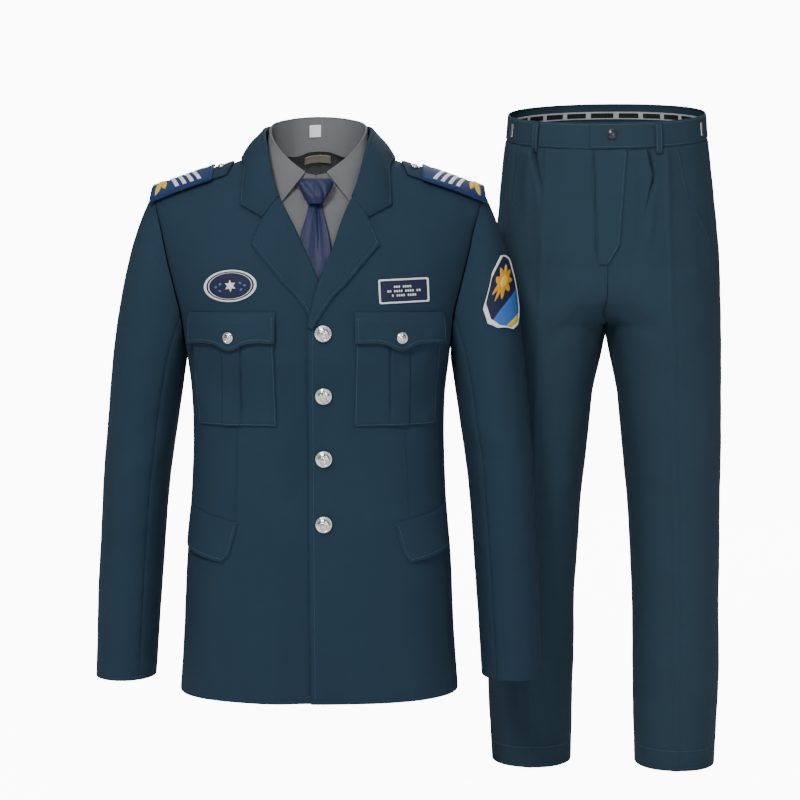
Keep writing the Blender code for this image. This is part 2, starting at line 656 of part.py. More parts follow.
def tie(silk):
    height = KNOT["height"]
    swing = np.linspace(0, 2 * math.pi, 16, endpoint=False)
    rings = []
    for i in range(len(height)):
        x = signed_power(np.sin(swing), 0.8) * KNOT["half_width"][i]
        y = KNOT["y"][i] - signed_power(np.cos(swing), 0.8) * KNOT["half_depth"][i]
        rings.append(np.stack([x, y, height[i] + 0 * x], axis=-1))
    points = np.concatenate(rings)
    count = len(swing)
    faces = [
        [i * count + j, i * count + (j + 1) % count, (i + 1) * count + (j + 1) % count, (i + 1) * count + j]
        for i in range(len(rings) - 1)
        for j in range(count)
    ]
    faces.append(list(range(count))[::-1])
    faces.append([(len(rings) - 1) * count + j for j in range(count)])
    add_object("tie_knot", points, faces, silk)
    height = np.linspace(BLADE["height"][0], BLADE["height"][-1], 14)
    across = np.linspace(-1, 1, 7)
    x = smooth(BLADE, "half_width", height)[:, None] * across
    tip = np.linspace(1, 0, 14)[:, None] ** 8 * (1 - np.abs(across)) * BLADE_POINT
    lift = smooth(BLADE, "lift", height)[:, None] + 0 * x
    points, normals = on_front(1, x, height[:, None] - tip, lift)
    shell("tie_blade", points, normals, BLADE_WALL, silk)


# Breast pockets: height and x of the corners, the same on both sides
POCKET_LIFT = 0.0014
POCKET_TOP = -0.2140
POCKET_BOTTOM = -0.3670
POCKET_INNER = (0.0560, 0.0520)
POCKET_OUTER = (0.1690, 0.1600)
PLEAT_CENTRE = 0.1135
PLEAT_HALF = 0.0125
PLEAT_RISE = 0.0016
FLAP_INNER = 0.0530
FLAP_OUTER = 0.1730
FLAP_DROP = table("share drop", (0.0, 0.0425), (0.33, 0.0440), (0.50, 0.0525), (0.67, 0.0440), (1.0, 0.0425))
HIP_FLAP = table(
    "share inner_turn inner_height outer_turn outer_height",
    (0.00, 31.5, -0.4990, 76.0, -0.4800),
    (0.80, 35.5, -0.5430, 79.0, -0.5280),
    (1.00, 39.0, -0.5545, 79.0, -0.5380),
)

# Buttons: radius of the dome and where it sits
BUTTON = table("radius height", (0.0105, 0.0000), (0.0115, 0.0014), (0.0098, 0.0032), (0.0060, 0.0052))
BUTTON_CROWN = 0.0060
BUTTON_SIDES = 12
FRONT_BUTTONS = table("height lift", (-0.2414, 0.0006), (-0.3255, 0.0010), (-0.4115, 0.0010), (-0.4998, 0.0010))
FRONT_BUTTON_X = 0.0113
POCKET_BUTTON_HEIGHT = -0.2470
POCKET_BUTTON_SCALE = 0.70
BOARD_BUTTON_SCALE = 0.55

# Shoulder straps and boards: x along the shoulder, then across it from the front edge to the back one.
# Across is the square root of how far the cloth has fallen from the ridge, positive in front.
STRAP = table(
    "x front back",
    (0.1160, 0.120, 0.080),
    (0.1240, 0.265, 0.000),
    (0.1600, 0.265, -0.060),
    (0.2290, 0.275, -0.240),
)
BOARD = table("x front back", (0.1430, 0.285, -0.020), (0.1860, 0.288, -0.150), (0.2300, 0.295, -0.275))
BOARD_WALL = 0.0026
STRAP_LIFT = 0.0015

# Badges: the chest badge, the name tag and the sleeve patch
BADGE_CENTRE = (0.1140, -0.1776)
BADGE_HALF = (0.0360, 0.0215)
BADGE_TILT = 4.0
TAG_CENTRE = (0.1190, -0.1840)
TAG_HALF = (0.0335, 0.0165)
TAG_TILT = -3.0
BADGE_WALL = 0.0012
PATCH = table(
    "share left right",
    (0.26, 0.175, 0.115),
    (0.33, 0.245, 0.040),
    (0.45, 0.240, 0.020),
    (0.54, 0.205, 0.040),
    (0.62, 0.135, 0.100),
)


def breast_pocket(side, word, wool):
    share = np.linspace(0, 1, 6)[:, None]
    inner = POCKET_INNER[1] + (POCKET_INNER[0] - POCKET_INNER[1]) * share
    outer = POCKET_OUTER[1] + (POCKET_OUTER[0] - POCKET_OUTER[1]) * share
    height = POCKET_BOTTOM + (POCKET_TOP - 0.012 - POCKET_BOTTOM) * share
    step = PLEAT_HALF + 0.0008
    marks = np.array([-step, -PLEAT_HALF, 0.0, PLEAT_HALF, step])
    middle = PLEAT_CENTRE + marks + 0 * share
    near = inner + (middle[:, :1] - inner) * np.linspace(0, 1, 4)[:-1]
    far = outer + (middle[:, -1:] - outer) * np.linspace(0, 1, 4)[:-1][::-1]
    x = np.hstack([near, middle, far])
    raised = (np.abs(x - PLEAT_CENTRE) <= PLEAT_HALF + 1e-6) * PLEAT_RISE
    points, normals = on_front(side, x, height + 0 * x, POCKET_LIFT + WOOL + raised)
    floor, _ = on_front(side, x, height + 0 * x, POCKET_LIFT)
    sheet_between(f"breast_pocket_{word}", points, floor, wool)


def sheet_between(name, outer, inner, look):
    """A wall between two sheets of the same grid."""
    wall = np.linalg.norm(outer - inner, axis=-1, keepdims=True)
    shell(name, outer, (outer - inner) / wall, wall.reshape(-1, 1), look)


def breast_flap(side, word, wool):
    share = np.linspace(0, 1, 11)
    drop = np.interp(share, FLAP_DROP["share"], FLAP_DROP["drop"])
    down = np.linspace(1, 0, 4)[:, None]
    x = FLAP_INNER + (FLAP_OUTER - FLAP_INNER) * share + 0 * down
    height = POCKET_TOP + 0.0015 - drop * down
    over_pleat = np.clip(1 - (np.abs(x - PLEAT_CENTRE) - PLEAT_HALF) / 0.02, 0, 1) * PLEAT_RISE
    hinge = POCKET_LIFT + (WOOL + REST * 3 + over_pleat) * np.clip(down * 3, 0, 1)
    points, normals = on_front(side, x, height, hinge + WOOL)
    shell(f"breast_flap_{word}", points, normals, WOOL, wool)


def hip_flap(side, word, wool):
    share = np.linspace(1, 0, 6)
    read = {name: np.interp(share, HIP_FLAP["share"], HIP_FLAP[name]) for name in HIP_FLAP}
    turn = blend_columns(read["inner_turn"], read["outer_turn"], 9)
    height = blend_columns(read["inner_height"], read["outer_height"], 9)
    points, normals = on_body(side, turn, height - UNDERARM, REST + WOOL)
    shell(f"hip_flap_{word}", points, normals, WOOL, wool)


def button(name, centre, normal, look, scale=1.0):
    """A domed shank button: rings of its profile round the way that it faces."""
    normal = np.asarray(normal, float)
    across = unit(np.cross(normal, [0.0, 0.0, 1.0]) if abs(normal[2]) < 0.9 else np.cross(normal, [0.0, 1.0, 0.0]))
    up = np.cross(across, normal)
    swing = np.linspace(0, 2 * math.pi, BUTTON_SIDES, endpoint=False)
    points = []
    for radius, height in zip(BUTTON["radius"] * scale, BUTTON["height"] * scale):
        ring = np.outer(np.cos(swing), across) + np.outer(np.sin(swing), up)
        points.append(centre + ring * radius + normal * height)
    points = np.concatenate(points + [[centre + normal * BUTTON_CROWN * scale]])
    last = len(BUTTON["radius"]) - 1
    faces = [list(range(BUTTON_SIDES))]
    for j in range(BUTTON_SIDES):
        k = (j + 1) % BUTTON_SIDES
        for i in range(last):
            base = i * BUTTON_SIDES
            faces.append([base + k, base + j, base + BUTTON_SIDES + j, base + BUTTON_SIDES + k])
        faces.append([last * BUTTON_SIDES + k, last * BUTTON_SIDES + j, len(points) - 1])
    return add_object(name, points, faces, look)


def buttons(metal):
    for i, height in enumerate(FRONT_BUTTONS["height"]):
        centre, normal = on_front(1, FRONT_BUTTON_X, height, FRONT_BUTTONS["lift"][i])
        button(f"front_button_{i + 1}", centre, normal, metal)
    for side, word in ((1, "left"), (-1, "right")):
        centre, normal = on_front(side, PLEAT_CENTRE, POCKET_BUTTON_HEIGHT, POCKET_LIFT + REST * 4 + 2 * WOOL + PLEAT_RISE)
        button("breast_button_" + word, centre, normal, metal, POCKET_BUTTON_SCALE)
        centre, normal = across_shoulder(side, 0.1335, 0.130, STRAP_LIFT + WOOL + REST)
        button("strap_button_" + word, centre, normal, metal, BOARD_BUTTON_SCALE)


def across_shoulder(side, x, across, lift):
    return over(side, x, 1 - signed_power(np.asarray(across, float), 2), lift)


def shoulder_piece(name, side, columns, rows, wall, lift, look):
    x = np.interp(np.linspace(0, 1, rows), np.linspace(0, 1, len(columns["x"])), columns["x"])
    front = np.interp(x, columns["x"], columns["front"])
    back = np.interp(x, columns["x"], columns["back"])
    across = blend_columns(front, back, 7)
    points, normals = across_shoulder(side, x[:, None] + 0 * across, across, lift + wall)
    shell(name, points, normals, wall, look)


def plate(name, place, outline, wall, look):
    """A flat badge laid on the cloth: its outline in x and height, filled by rings towards its middle."""
    outline = np.asarray(outline)
    centre = outline.mean(axis=0)
    rings = [centre + (outline - centre) * scale for scale in (1.0, 0.5)]
    flat = np.concatenate(rings + [centre[None]])
    top, normals = place(flat, REST + wall)
    points = np.concatenate([top, top - normals * wall])
    count = len(outline)
    half = len(flat)
    faces = []
    for j in range(count):
        k = (j + 1) % count
        faces.append([j, k, count + k, count + j])
        faces.append([count + j, count + k, half - 1])
        faces.append([half + k, half + j, half + count + j, half + count + k])
        faces.append([half + count + k, half + count + j, 2 * half - 1])
        faces.append([k, j, half + j, half + k])
    return add_object(name, points, faces, look)


def turned_outline(outline, centre, tilt):
    angle = math.radians(tilt)
    spin = np.array([[math.cos(angle), math.sin(angle)], [-math.sin(angle), math.cos(angle)]])
    return np.asarray(outline) @ spin + np.asarray(centre)


def badges(badge_cloth):
    swing = np.linspace(0, 2 * math.pi, 20, endpoint=False)
    oval = np.stack([np.cos(swing) * BADGE_HALF[0], np.sin(swing) * BADGE_HALF[1]], axis=-1)

    def on_right(flat, lift):
        return on_front(-1, flat[:, 0], flat[:, 1], lift)

    def on_left(flat, lift):
        return on_front(1, flat[:, 0], flat[:, 1], lift)

    plate("chest_badge", on_right, turned_outline(oval, BADGE_CENTRE, BADGE_TILT), BADGE_WALL, badge_cloth)
    w, h = TAG_HALF
    box = [(x, -h) for x in np.linspace(-w, w, 7)] + [(w, 0)] + [(x, h) for x in np.linspace(w, -w, 7)] + [(-w, 0)]
    plate("name_tag", on_left, turned_outline(box, TAG_CENTRE, TAG_TILT), BADGE_WALL, badge_cloth)


def sleeve_patch(badge_cloth):
    rows = np.linspace(PATCH["share"][0], PATCH["share"][-1], 8)
    left = np.interp(rows, PATCH["share"], PATCH["left"])
    right = np.interp(rows, PATCH["share"], PATCH["right"])
    cells = []
    for i, cap in enumerate(rows):
        share = np.linspace(left[i], right[i], 6)
        line, _ = sleeve_surface(1, share, [cap - 0.01, cap, cap + 0.01], [])
        around, _ = sleeve_surface(1, share + 0.005, [cap], [])
        normal = unit(np.cross(around[0] - line[1], line[2] - line[0]))
        cells.append((line[1], normal))
    points = np.array([cell[0] for cell in cells])
    normals = np.array([cell[1] for cell in cells])
    normals = normals * np.sign(normals[4, 4, 0])
    shell("sleeve_patch", points + normals * (REST * 2 + BADGE_WALL), normals, BADGE_WALL, badge_cloth)


# Trousers, in their own frame: rings down from the rim of the waist. centre and outer are x of one half's ring
TROUSERS = table(
    "height outer centre front_depth back_depth crease",
    (-0.8830, 0.1650, 0.1060, 0.0680, 0.0700, 0.1060),
    (-0.7700, 0.1705, 0.1075, 0.0710, 0.0730, 0.1070),
    (-0.6300, 0.1700, 0.1060, 0.0760, 0.0780, 0.1055),
    (-0.4900, 0.1705, 0.1020, 0.0840, 0.0860, 0.1020),
    (-0.3330, 0.1705, 0.0940, 0.0980, 0.1020, 0.0970),
    (-0.2350, 0.1685, 0.0840, 0.1080, 0.1150, 0.0930),
    (-0.2130, 0.1682, 0.0640, 0.1110, 0.1200, 0.0920),
    (-0.1900, 0.1675, 0.0320, 0.1140, 0.1240, 0.0910),
    (-0.1500, 0.1660, 0.0000, 0.1160, 0.1260, 0.0900),
    (-0.0740, 0.1590, 0.0000, 0.1130, 0.1220, 0.0870),
    (-0.0220, 0.1540, 0.0000, 0.1090, 0.1160, 0.0850),
    (0.0375, 0.1475, 0.0000, 0.1050, 0.1060, 0.0830),
    (0.0745, 0.1445, 0.0000, 0.1020, 0.1020, 0.0830),
)
TROUSER_PLACE = (0.4165, 0.1302, 0.0)
TROUSER_TURN = -6.0
TROUSER_ROWS = (
    *(-0.883, -0.790, -0.690, -0.590, -0.490, -0.400, -0.333, -0.285),
    *(-0.250, -0.232, -0.213, -0.190, -0.165, -0.100, -0.030, 0.0375),
)
TROUSER_SHARES = (0.0, 0.35, 0.65, 0.87, 1.0, 1.13, 1.38, 1.70, 2.0)
RIM_TILT = 0.22
CREASE_RISE = 0.0022
WAIST_SEAM = 0.0375
RIM = 0.0745
BAND = 0.0020
BAND_START = -8.0
BAND_COLUMNS = 31
TAPE_START = 4
# How far the tape's edges are below the rim
TAPE_TOP = 0.0120
TAPE_BOTTOM = 0.0235
TAB_WALL = 0.0012
TAB_TURN = 67.0
TAB_HALF = 1.4
TAB_HEIGHTS = np.array([0.0470, 0.0655])
WAIST_BUTTON_SCALE = 0.68
BAND_END = 365.0
# The band's start lies over its end, and comes down to the cloth over these degrees
BAND_LAP_END = 40.0
BAND_LAP_FADE = 25.0
FLY_EDGE = table("height left right", (-0.1480, -0.0100, 0.0040), (-0.1200, -0.0140, 0.0200), (0.0365, -0.0160, 0.0290))
LOOPS = (
    ("front_left", 1, 28.0),
    ("front_right", -1, 41.5),
    ("back_left", 1, 128.0),
    ("back_right", -1, 128.0),
    ("back", 1, 180.0),
)
LOOP_HALF = 2.2
LOOP = table("height lift", (0.0300, 0.0008), (0.0420, 0.0030), (0.0640, 0.0030), (0.0740, 0.0008))


def trouser_surface(turn, height):
    """The trousers' outer surface. turn is as on the jacket, and below 0 on towards the inside of the leg."""
    turn, height = np.broadcast_arrays(np.radians(turn), np.asarray(height, float))
    centre = np.interp(height, TROUSERS["height"], TROUSERS["centre"])
    width = smooth(TROUSERS, "outer", height) - centre
    forward = signed_power(np.cos(turn), 0.93)
    depth = np.where(forward > 0, smooth(TROUSERS, "front_depth", height), smooth(TROUSERS, "back_depth", height))
    x = centre + width * signed_power(np.sin(turn), 0.93)
    y = -depth * forward
    tilt = np.clip((height + 0.14) / 0.17, 0, 1)
    return np.stack([x, y, height + RIM_TILT * y * tilt * tilt * (3 - 2 * tilt)], axis=-1)


def trouser_turn(x, height):
    """Where round the ring a point at this x is, in front."""
    centre = np.interp(height, TROUSERS["height"], TROUSERS["centre"])
    width = smooth(TROUSERS, "outer", height) - centre
    return np.degrees(np.arcsin(signed_power(np.clip((x - centre) / width, -1, 1), 1 / 0.93)))


def on_trousers(side, turn, height, lift=0.0):
    step = 1e-4
    turn, height = np.broadcast_arrays(np.asarray(turn, float), np.asarray(height, float))
    points = trouser_surface(turn, height)
    along = trouser_surface(turn + 0.01, height) - trouser_surface(turn - 0.01, height)
    up = trouser_surface(turn, height + step) - trouser_surface(turn, height - step)
    normals = unit(np.cross(along, up))
    mirror = np.array([side, 1, 1])
    return (points + normals * (lift + np.zeros(points.shape[:2]))[..., None]) * mirror, normals * mirror


def placed(points, normals):
    """From the trousers' own frame to where they stand behind the jacket's sleeve."""
    angle = math.radians(TROUSER_TURN)
    spin = np.array([[math.cos(angle), math.sin(angle), 0], [-math.sin(angle), math.cos(angle), 0], [0, 0, 1]])
    return points @ spin + np.array(TROUSER_PLACE), normals @ spin


def trouser_sheet(name, points, normals, wall, look):
    points, normals = placed(points, normals)
    shell(name, points, normals, wall, look)


def trouser_panels(cloth):
    height = np.array(TROUSER_ROWS)
    start = trouser_turn(HALF, height)
    crease = trouser_turn(np.interp(height, TROUSERS["height"], TROUSERS["crease"]), height)
    share = np.array(TROUSER_SHARES)
    before = start[:, None] + (crease - start)[:, None] * share
    turn = np.where(share <= 1, before, 90 + (crease - 90)[:, None] * (2 - share))
    ridge = (share == 1) * CREASE_RISE
    for side, word in ((1, "left"), (-1, "right")):
        points, normals = on_trousers(side, turn, height[:, None], ridge)
        points = trimmed(points, first=HALF, last=HALF, top=HALF)
        trouser_sheet("trouser_front_" + word, points, normals, TROUSER_CLOTH, cloth)
        fade = np.clip((-0.15 - height[:, None]) / 0.1, 0, 1)
        points, normals = on_trousers(side, 180 - turn, height[:, None], ridge * fade)
        points = trimmed(points, first=HALF, last=HALF, top=HALF)
        trouser_sheet("trouser_back_" + word, points, normals, TROUSER_CLOTH, cloth)


def round_waist(swing, height, lift):
    """Points all round the waist. swing is 0 at the front, 90 on the viewer's right and 180 at the back."""
    turn = np.abs((np.asarray(swing, float) + 180) % 360 - 180)
    side = np.where((np.asarray(swing, float) + 180) % 360 - 180 < 0, -1.0, 1.0)
    points, normals = on_trousers(1, turn, height, lift)
    mirror = np.ones(points.shape)
    mirror[..., 0] = side
    return points * mirror, normals * mirror


def waistband(cloth, tape, metal, dark_button):
    swing = np.linspace(BAND_START, BAND_END, BAND_COLUMNS)
    over_end = np.clip((BAND_LAP_END - swing) / BAND_LAP_FADE, 0, 1) * (BAND + REST)
    points, normals = round_waist(swing, np.linspace(WAIST_SEAM, RIM, 3)[:, None], over_end)
    trouser_sheet("trouser_waistband", trimmed(points, bottom=SEAM * 2), normals, BAND, cloth)
    height = np.array([RIM - TAPE_BOTTOM, RIM - TAPE_TOP])[:, None]
    points, normals = round_waist(swing[TAPE_START:-TAPE_START], height, -BAND - REST)
    trouser_sheet("trouser_waist_tape", points, normals, LABEL_WALL, tape)
    for name, side, turn in LOOPS:
        swing = side * turn + LOOP_HALF * np.array([-1.0, 1.0])
        extra = (BAND + REST) * max(0.0, (BAND_LAP_END - turn) / BAND_LAP_FADE) * (side > 0)
        lift = LOOP["lift"][:, None] + TROUSER_CLOTH + extra
        points, normals = round_waist(swing, LOOP["height"][:, None], lift)
        trouser_sheet("belt_loop_" + name, points, normals, TROUSER_CLOTH, cloth)
    height = np.linspace(-0.1480, 0.0365, 7)
    left = np.interp(height, FLY_EDGE["height"], FLY_EDGE["left"])
    right = np.interp(height, FLY_EDGE["height"], FLY_EDGE["right"])
    x = blend_columns(left, right, 4)
    swing = np.sign(x) * trouser_turn(np.abs(x), height[:, None])
    points, normals = round_waist(swing, height[:, None], REST * 1.4 + TROUSER_CLOTH)
    trouser_sheet("trouser_fly", points, normals, TROUSER_CLOTH, cloth)
    for side, word in ((1, "left"), (-1, "right")):
        swing = side * TAB_TURN + TAB_HALF * np.array([-1.0, 1.0])
        points, normals = round_waist(swing, TAB_HEIGHTS[:, None], REST + TAB_WALL)
        trouser_sheet("waist_tab_" + word, points, normals, TAB_WALL, metal)
    points, normals = round_waist([[2.4]], [[0.0585]], REST * 2 + BAND)
    points, normals = placed(points, normals)
    button("waist_button", points[0, 0], normals[0, 0], dark_button, WAIST_BUTTON_SCALE)


def build():
    for old in list(bpy.data.objects):
        bpy.data.objects.remove(old)
    wool = material("uniform_wool", (0.020, 0.040, 0.058), 0.85)
    shirting = material("shirting", (0.200, 0.203, 0.205), 0.80)
    silk = material("tie_silk", (0.035, 0.042, 0.120), 0.45)
    metal = material("button_metal", (0.800, 0.780, 0.740), 0.25, 1.0)
    board_cloth = material("board_cloth", (0.030, 0.080, 0.300), 0.60)
    badge_cloth = material("badge_cloth", (0.700, 0.700, 0.720), 0.70)
    label_cloth = material("label_cloth", (0.600, 0.590, 0.540), 0.80)
    trouser_wool = material("trouser_wool", (0.020, 0.042, 0.060), 0.80)
    tape = material("waist_tape", (0.550, 0.560, 0.560), 0.75)
    dark_button = material("dark_button", (0.020, 0.025, 0.035), 0.35)
    jacket_body(wool)
    for side, word in ((1, "left"), (-1, "right")):
        sleeve(side, word, wool)
        lapel(side, word, wool)
        breast_pocket(side, word, wool)
        breast_flap(side, word, wool)
        hip_flap(side, word, wool)
        shoulder_piece("shoulder_strap_" + word, side, STRAP, 9, WOOL, STRAP_LIFT, wool)
        shoulder_piece("shoulder_board_" + word, side, BOARD, 7, BOARD_WALL, STRAP_LIFT + WOOL + REST * 3, board_cloth)
    jacket_collar(wool)
    buttons(metal)
    badges(badge_cloth)
    sleeve_patch(badge_cloth)
    shirt_body(shirting)
    shirt_collar(shirting)
    tie(silk)
    shirt_labels(label_cloth)
    trouser_panels(trouser_wool)
    waistband(trouser_wool, tape, metal, dark_button)


build()
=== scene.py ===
"""Looks of the security guard uniform: its cloth, buttons, badges and sewing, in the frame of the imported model.

Metres, +Z up. The jacket faces -Y and +X is the viewer's right.
"""

import math

import bpy
import numpy as np
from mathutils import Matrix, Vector


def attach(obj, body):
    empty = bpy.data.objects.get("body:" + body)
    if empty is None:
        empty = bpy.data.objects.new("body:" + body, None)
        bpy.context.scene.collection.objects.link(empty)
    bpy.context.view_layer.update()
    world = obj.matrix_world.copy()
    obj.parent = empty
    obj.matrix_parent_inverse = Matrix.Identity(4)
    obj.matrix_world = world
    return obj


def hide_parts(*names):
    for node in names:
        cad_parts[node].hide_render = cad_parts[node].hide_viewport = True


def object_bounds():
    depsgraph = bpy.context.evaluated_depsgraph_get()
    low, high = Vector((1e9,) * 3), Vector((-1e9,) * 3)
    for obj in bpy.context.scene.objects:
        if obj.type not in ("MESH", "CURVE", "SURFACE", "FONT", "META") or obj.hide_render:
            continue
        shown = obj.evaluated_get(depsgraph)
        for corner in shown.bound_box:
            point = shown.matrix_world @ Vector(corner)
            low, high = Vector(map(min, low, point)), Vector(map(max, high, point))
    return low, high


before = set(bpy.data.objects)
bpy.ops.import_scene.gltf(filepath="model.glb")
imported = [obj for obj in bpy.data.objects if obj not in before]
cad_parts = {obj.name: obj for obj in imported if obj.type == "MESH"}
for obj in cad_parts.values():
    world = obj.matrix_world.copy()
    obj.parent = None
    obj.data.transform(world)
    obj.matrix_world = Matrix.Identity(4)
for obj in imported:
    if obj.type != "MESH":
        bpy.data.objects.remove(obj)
cad_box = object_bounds()


def table(names, rows):
    """A short table as named columns. Its first column is the one that the others are read by."""
    names = names.split()
    return dict(zip(names, np.array(rows.split(), float).reshape(-1, len(names)).T))


# The wearer's left is on the viewer's right
SIDES = ((1, "left"), (-1, "right"))

# Walls and clearances
WOOL = 0.0020
FLAP_WALL = WOOL * 0.9
SHIRTING = 0.0010
TROUSER_CLOTH = 0.0016
SEAM = 0.0003
REST = 0.0005

# Jacket body: rings below the underarm, then a rise from the underarm (0) to the shoulder ridge (1)
UNDERARM = -0.275
HEM = -0.745
SQUARENESS = 2.4
RIDGE_Y = 0.008
BODY = table("height half_width front_depth back_depth", """
    -.745 .1965 .129 .132
    -.64 .19 .128 .131
    -.55 .186 .125 .126
    -.46 .179 .119 .113
    -.38 .1765 .116 .106
    -.32 .1785 .122 .113
    -.275 .184 .13 .122
    -.235 .192 .13 .122
""")
CHEST = table("rise half_width front_armhole back_armhole", """
    0 .184 90 90
    .03 .1856 84.5 84.5
    .08 .1885 79 78
    .14 .192 74.5 73
    .22 .1965 71.5 69
    .36 .206 69.5 66
    .56 .2195 68.5 64.5
    .74 .2295 68.5 65
    .9 .2385 69.5 67.5
    1 .243 70.5 70.5
""")
RIDGE = table("x height", """
    0 .0445
    .02 .0415
    .04 .032
    .07 .0155
    .085 .0075
    .11 -.002
    .15 -.0165
    .19 -.0305
    .231 -.045
    .26 -.0555
""")
FRONT_FALL = (2.6, 1.8)
BACK_FALL = (3.2, 2.0)

# Edge of each front: the lap, the roll line of the lapel, then the neck. x grows towards its own side.
RIGHT_EDGE = table("height x", """
    -.745 -.0065
    -.4 -.009
    -.262 -.009
    -.234 -.008
    -.2 -.001
    -.178 .0055
    -.131 .025
    -.058 .052
    -.03 .069
    .0075 .085
""")
LEFT_EDGE = table("height x", """
    -.745 -.021
    -.4 -.021
    -.262 -.021
    -.225 -.0185
    -.175 -.004
    -.121 .02
    -.058 .052
    -.03 .069
    .0075 .085
""")
LAP_DEPTH = 0.0056
LAP_FULL = 0.012
LAP_END = 0.055
BACK_NECK = table("rise x", ".865 0  .914 .03  .949 .05  .978 .068  1 .085")

# Sleeves: rings down the arm below the cap
SLEEVE = table("height x y half_width half_depth", """
    -.724 .2715 -.022 .042 .052
    -.62 .2668 -.014 .0444 .056
    -.53 .262 -.008 .0456 .06
    -.43 .255 -.002 .0475 .064
    -.34 .2448 .002 .0505 .069
""")
CUFF = -0.724
CAP_END = -0.340
FORE_SEAM = 0.345
HIND_SEAM = 0.690

# Points round an armhole, which the body's rows above the underarm meet one by one
ARMHOLE_POINTS = 96
UPPER_RISES = (1 - np.cos(np.linspace(0, math.pi, ARMHOLE_POINTS // 2 + 1))) / 2
SEAM_STEP = 12
BODY_ROWS = 60
CAP_ROWS = 40
ARM_ROWS = 60
FRONT_COLUMNS = 64
BACK_COLUMNS = 44
HALF = SEAM / 2


def smooth(columns, name, at):
    """Reads a column at any value of the first one, on a smooth curve through the rows."""
    x = next(iter(columns.values()))
    y = columns[name]
    slopes = np.gradient(y, x)
    at = np.clip(at, x[0], x[-1])
    i = np.clip(np.searchsorted(x, at) - 1, 0, len(x) - 2)
    h = x[i + 1] - x[i]
    t = (at - x[i]) / h
    start = (1 + 2 * t) * (1 - t) ** 2 * y[i] + t * (1 - t) ** 2 * h * slopes[i]
    end = t**2 * (3 - 2 * t) * y[i + 1] + t**2 * (t - 1) * h * slopes[i + 1]
    return start + end


def straight(columns, name, at):
    """The same on straight lines from row to row."""
    return np.interp(at, next(iter(columns.values())), columns[name])


def signed_power(value, power):
    return np.sign(value) * np.abs(value) ** power


def unit(vectors):
    return vectors / np.linalg.norm(vectors, axis=-1, keepdims=True)


def half_width(rise):
    below = smooth(BODY, "half_width", UNDERARM + np.minimum(rise, 0.0))
    return np.where(rise < 0, below, smooth(CHEST, "half_width", np.clip(rise, 0, 1)))


def body_surface(turn, rise):
    """The jacket's outer surface. turn is in degrees from the front (0) past the side (90) to the back (180).

    rise is metres below the underarm where it is negative, and the share of the way up to the ridge above it.
    """
    turn, rise = np.broadcast_arrays(np.radians(turn), np.asarray(rise, float))
    height = UNDERARM + np.minimum(rise, 0.0)
    share = np.clip(rise, 0.0, 1.0)
    across = signed_power(np.sin(turn), 2 / SQUARENESS)
    forward = signed_power(np.cos(turn), 2 / SQUARENESS)
    front = forward > 0
    depth = np.where(front, smooth(BODY, "front_depth", height), smooth(BODY, "back_depth", height))
    x = across * half_width(rise)
    q = np.where(front, FRONT_FALL[0], BACK_FALL[0])
    p = np.where(front, FRONT_FALL[1], BACK_FALL[1])
    y = RIDGE_Y + (-forward * depth - RIDGE_Y) * (1 - share**q) ** (1 / p)
    z = height + share * (smooth(RIDGE, "height", np.abs(x)) - UNDERARM)
    return np.stack([x, y, z], axis=-1)


def body_normal(turn, rise):
    step = 1e-4
    rise = np.asarray(rise, float)
    along = body_surface(turn + math.degrees(step), rise) - body_surface(turn - math.degrees(step), rise)
    up = body_surface(turn, np.minimum(rise + step, 1.0)) - body_surface(turn, rise - step)
    normals = np.cross(along, up)
    normals[..., 1] = np.where(rise >= 1, 0.0, normals[..., 1])
    return unit(normals)


def rise_at(x, height):
    """How far up the front a point at this x and height is."""
    share = (height - UNDERARM) / (smooth(RIDGE, "height", np.abs(x)) - UNDERARM)
    return np.where(height < UNDERARM, height - UNDERARM, share)


def turn_at(x, rise):
    return np.degrees(np.arcsin(signed_power(np.clip(x / half_width(rise), -1, 1), SQUARENESS / 2)))


def edge_turn(edge, rise, read, rounds):
    """The angle of a front's free edge at each rise. Its x is found by turns with the height that it has there."""
    x = np.zeros_like(rise)
    for _ in range(rounds):
        up = UNDERARM + np.clip(rise, 0, 1) * (smooth(RIDGE, "height", np.abs(x)) - UNDERARM)
        x = read(edge, "x", np.where(rise < 0, UNDERARM + rise, up))
    return turn_at(x, rise)


def lap(side, x):
    """How far the under front drops where the other front lies over it."""
    if side > 0:
        return np.zeros_like(x)
    t = np.clip((LAP_END - x) / (LAP_END - LAP_FULL), 0, 1)
    return -LAP_DEPTH * t * t * (3 - 2 * t)


def on_body(side, turn, rise, lift=0.0):
    """Points and normals on the jacket, lifted off it. side is 1 on the viewer's right and -1 on the left."""
    turn, rise = np.broadcast_arrays(np.asarray(turn, float), np.asarray(rise, float))
    points = body_surface(turn, rise)
    normals = body_normal(turn, rise)
    drop = np.where(turn < 90, lap(side, points[..., 0]), 0.0) + lift
    mirror = np.array([side, 1, 1])
    points, normals = points * mirror, normals * mirror
    return points + normals * (drop + drape(points))[..., None], normals


def over(side, x, climb, lift=0.0):
    """The same from x and a climb up the front (to 1 at the ridge) and on down the back (to 2)."""
    x, climb = np.broadcast_arrays(np.asarray(x, float), np.asarray(climb, float))
    rise = np.where(climb > 1, 2 - climb, climb)
    turn = turn_at(x, rise)
    return on_body(side, np.where(climb > 1, 180 - turn, turn), rise, lift)


def on_front(side, x, height, lift=0.0):
    """The same from x and height, for what lies on the front. x grows towards the front's own side."""
    x, height = np.broadcast_arrays(np.asarray(x, float), np.asarray(height, float))
    rise = rise_at(x, height)
    return on_body(side, turn_at(x, rise), rise, lift)


def grid_normals(points, wrap=False):
    along = np.gradient(points, axis=1)
    if wrap:
        along = np.roll(points, -1, axis=1) - np.roll(points, 1, axis=1)
    return unit(np.cross(along, np.gradient(points, axis=0)))


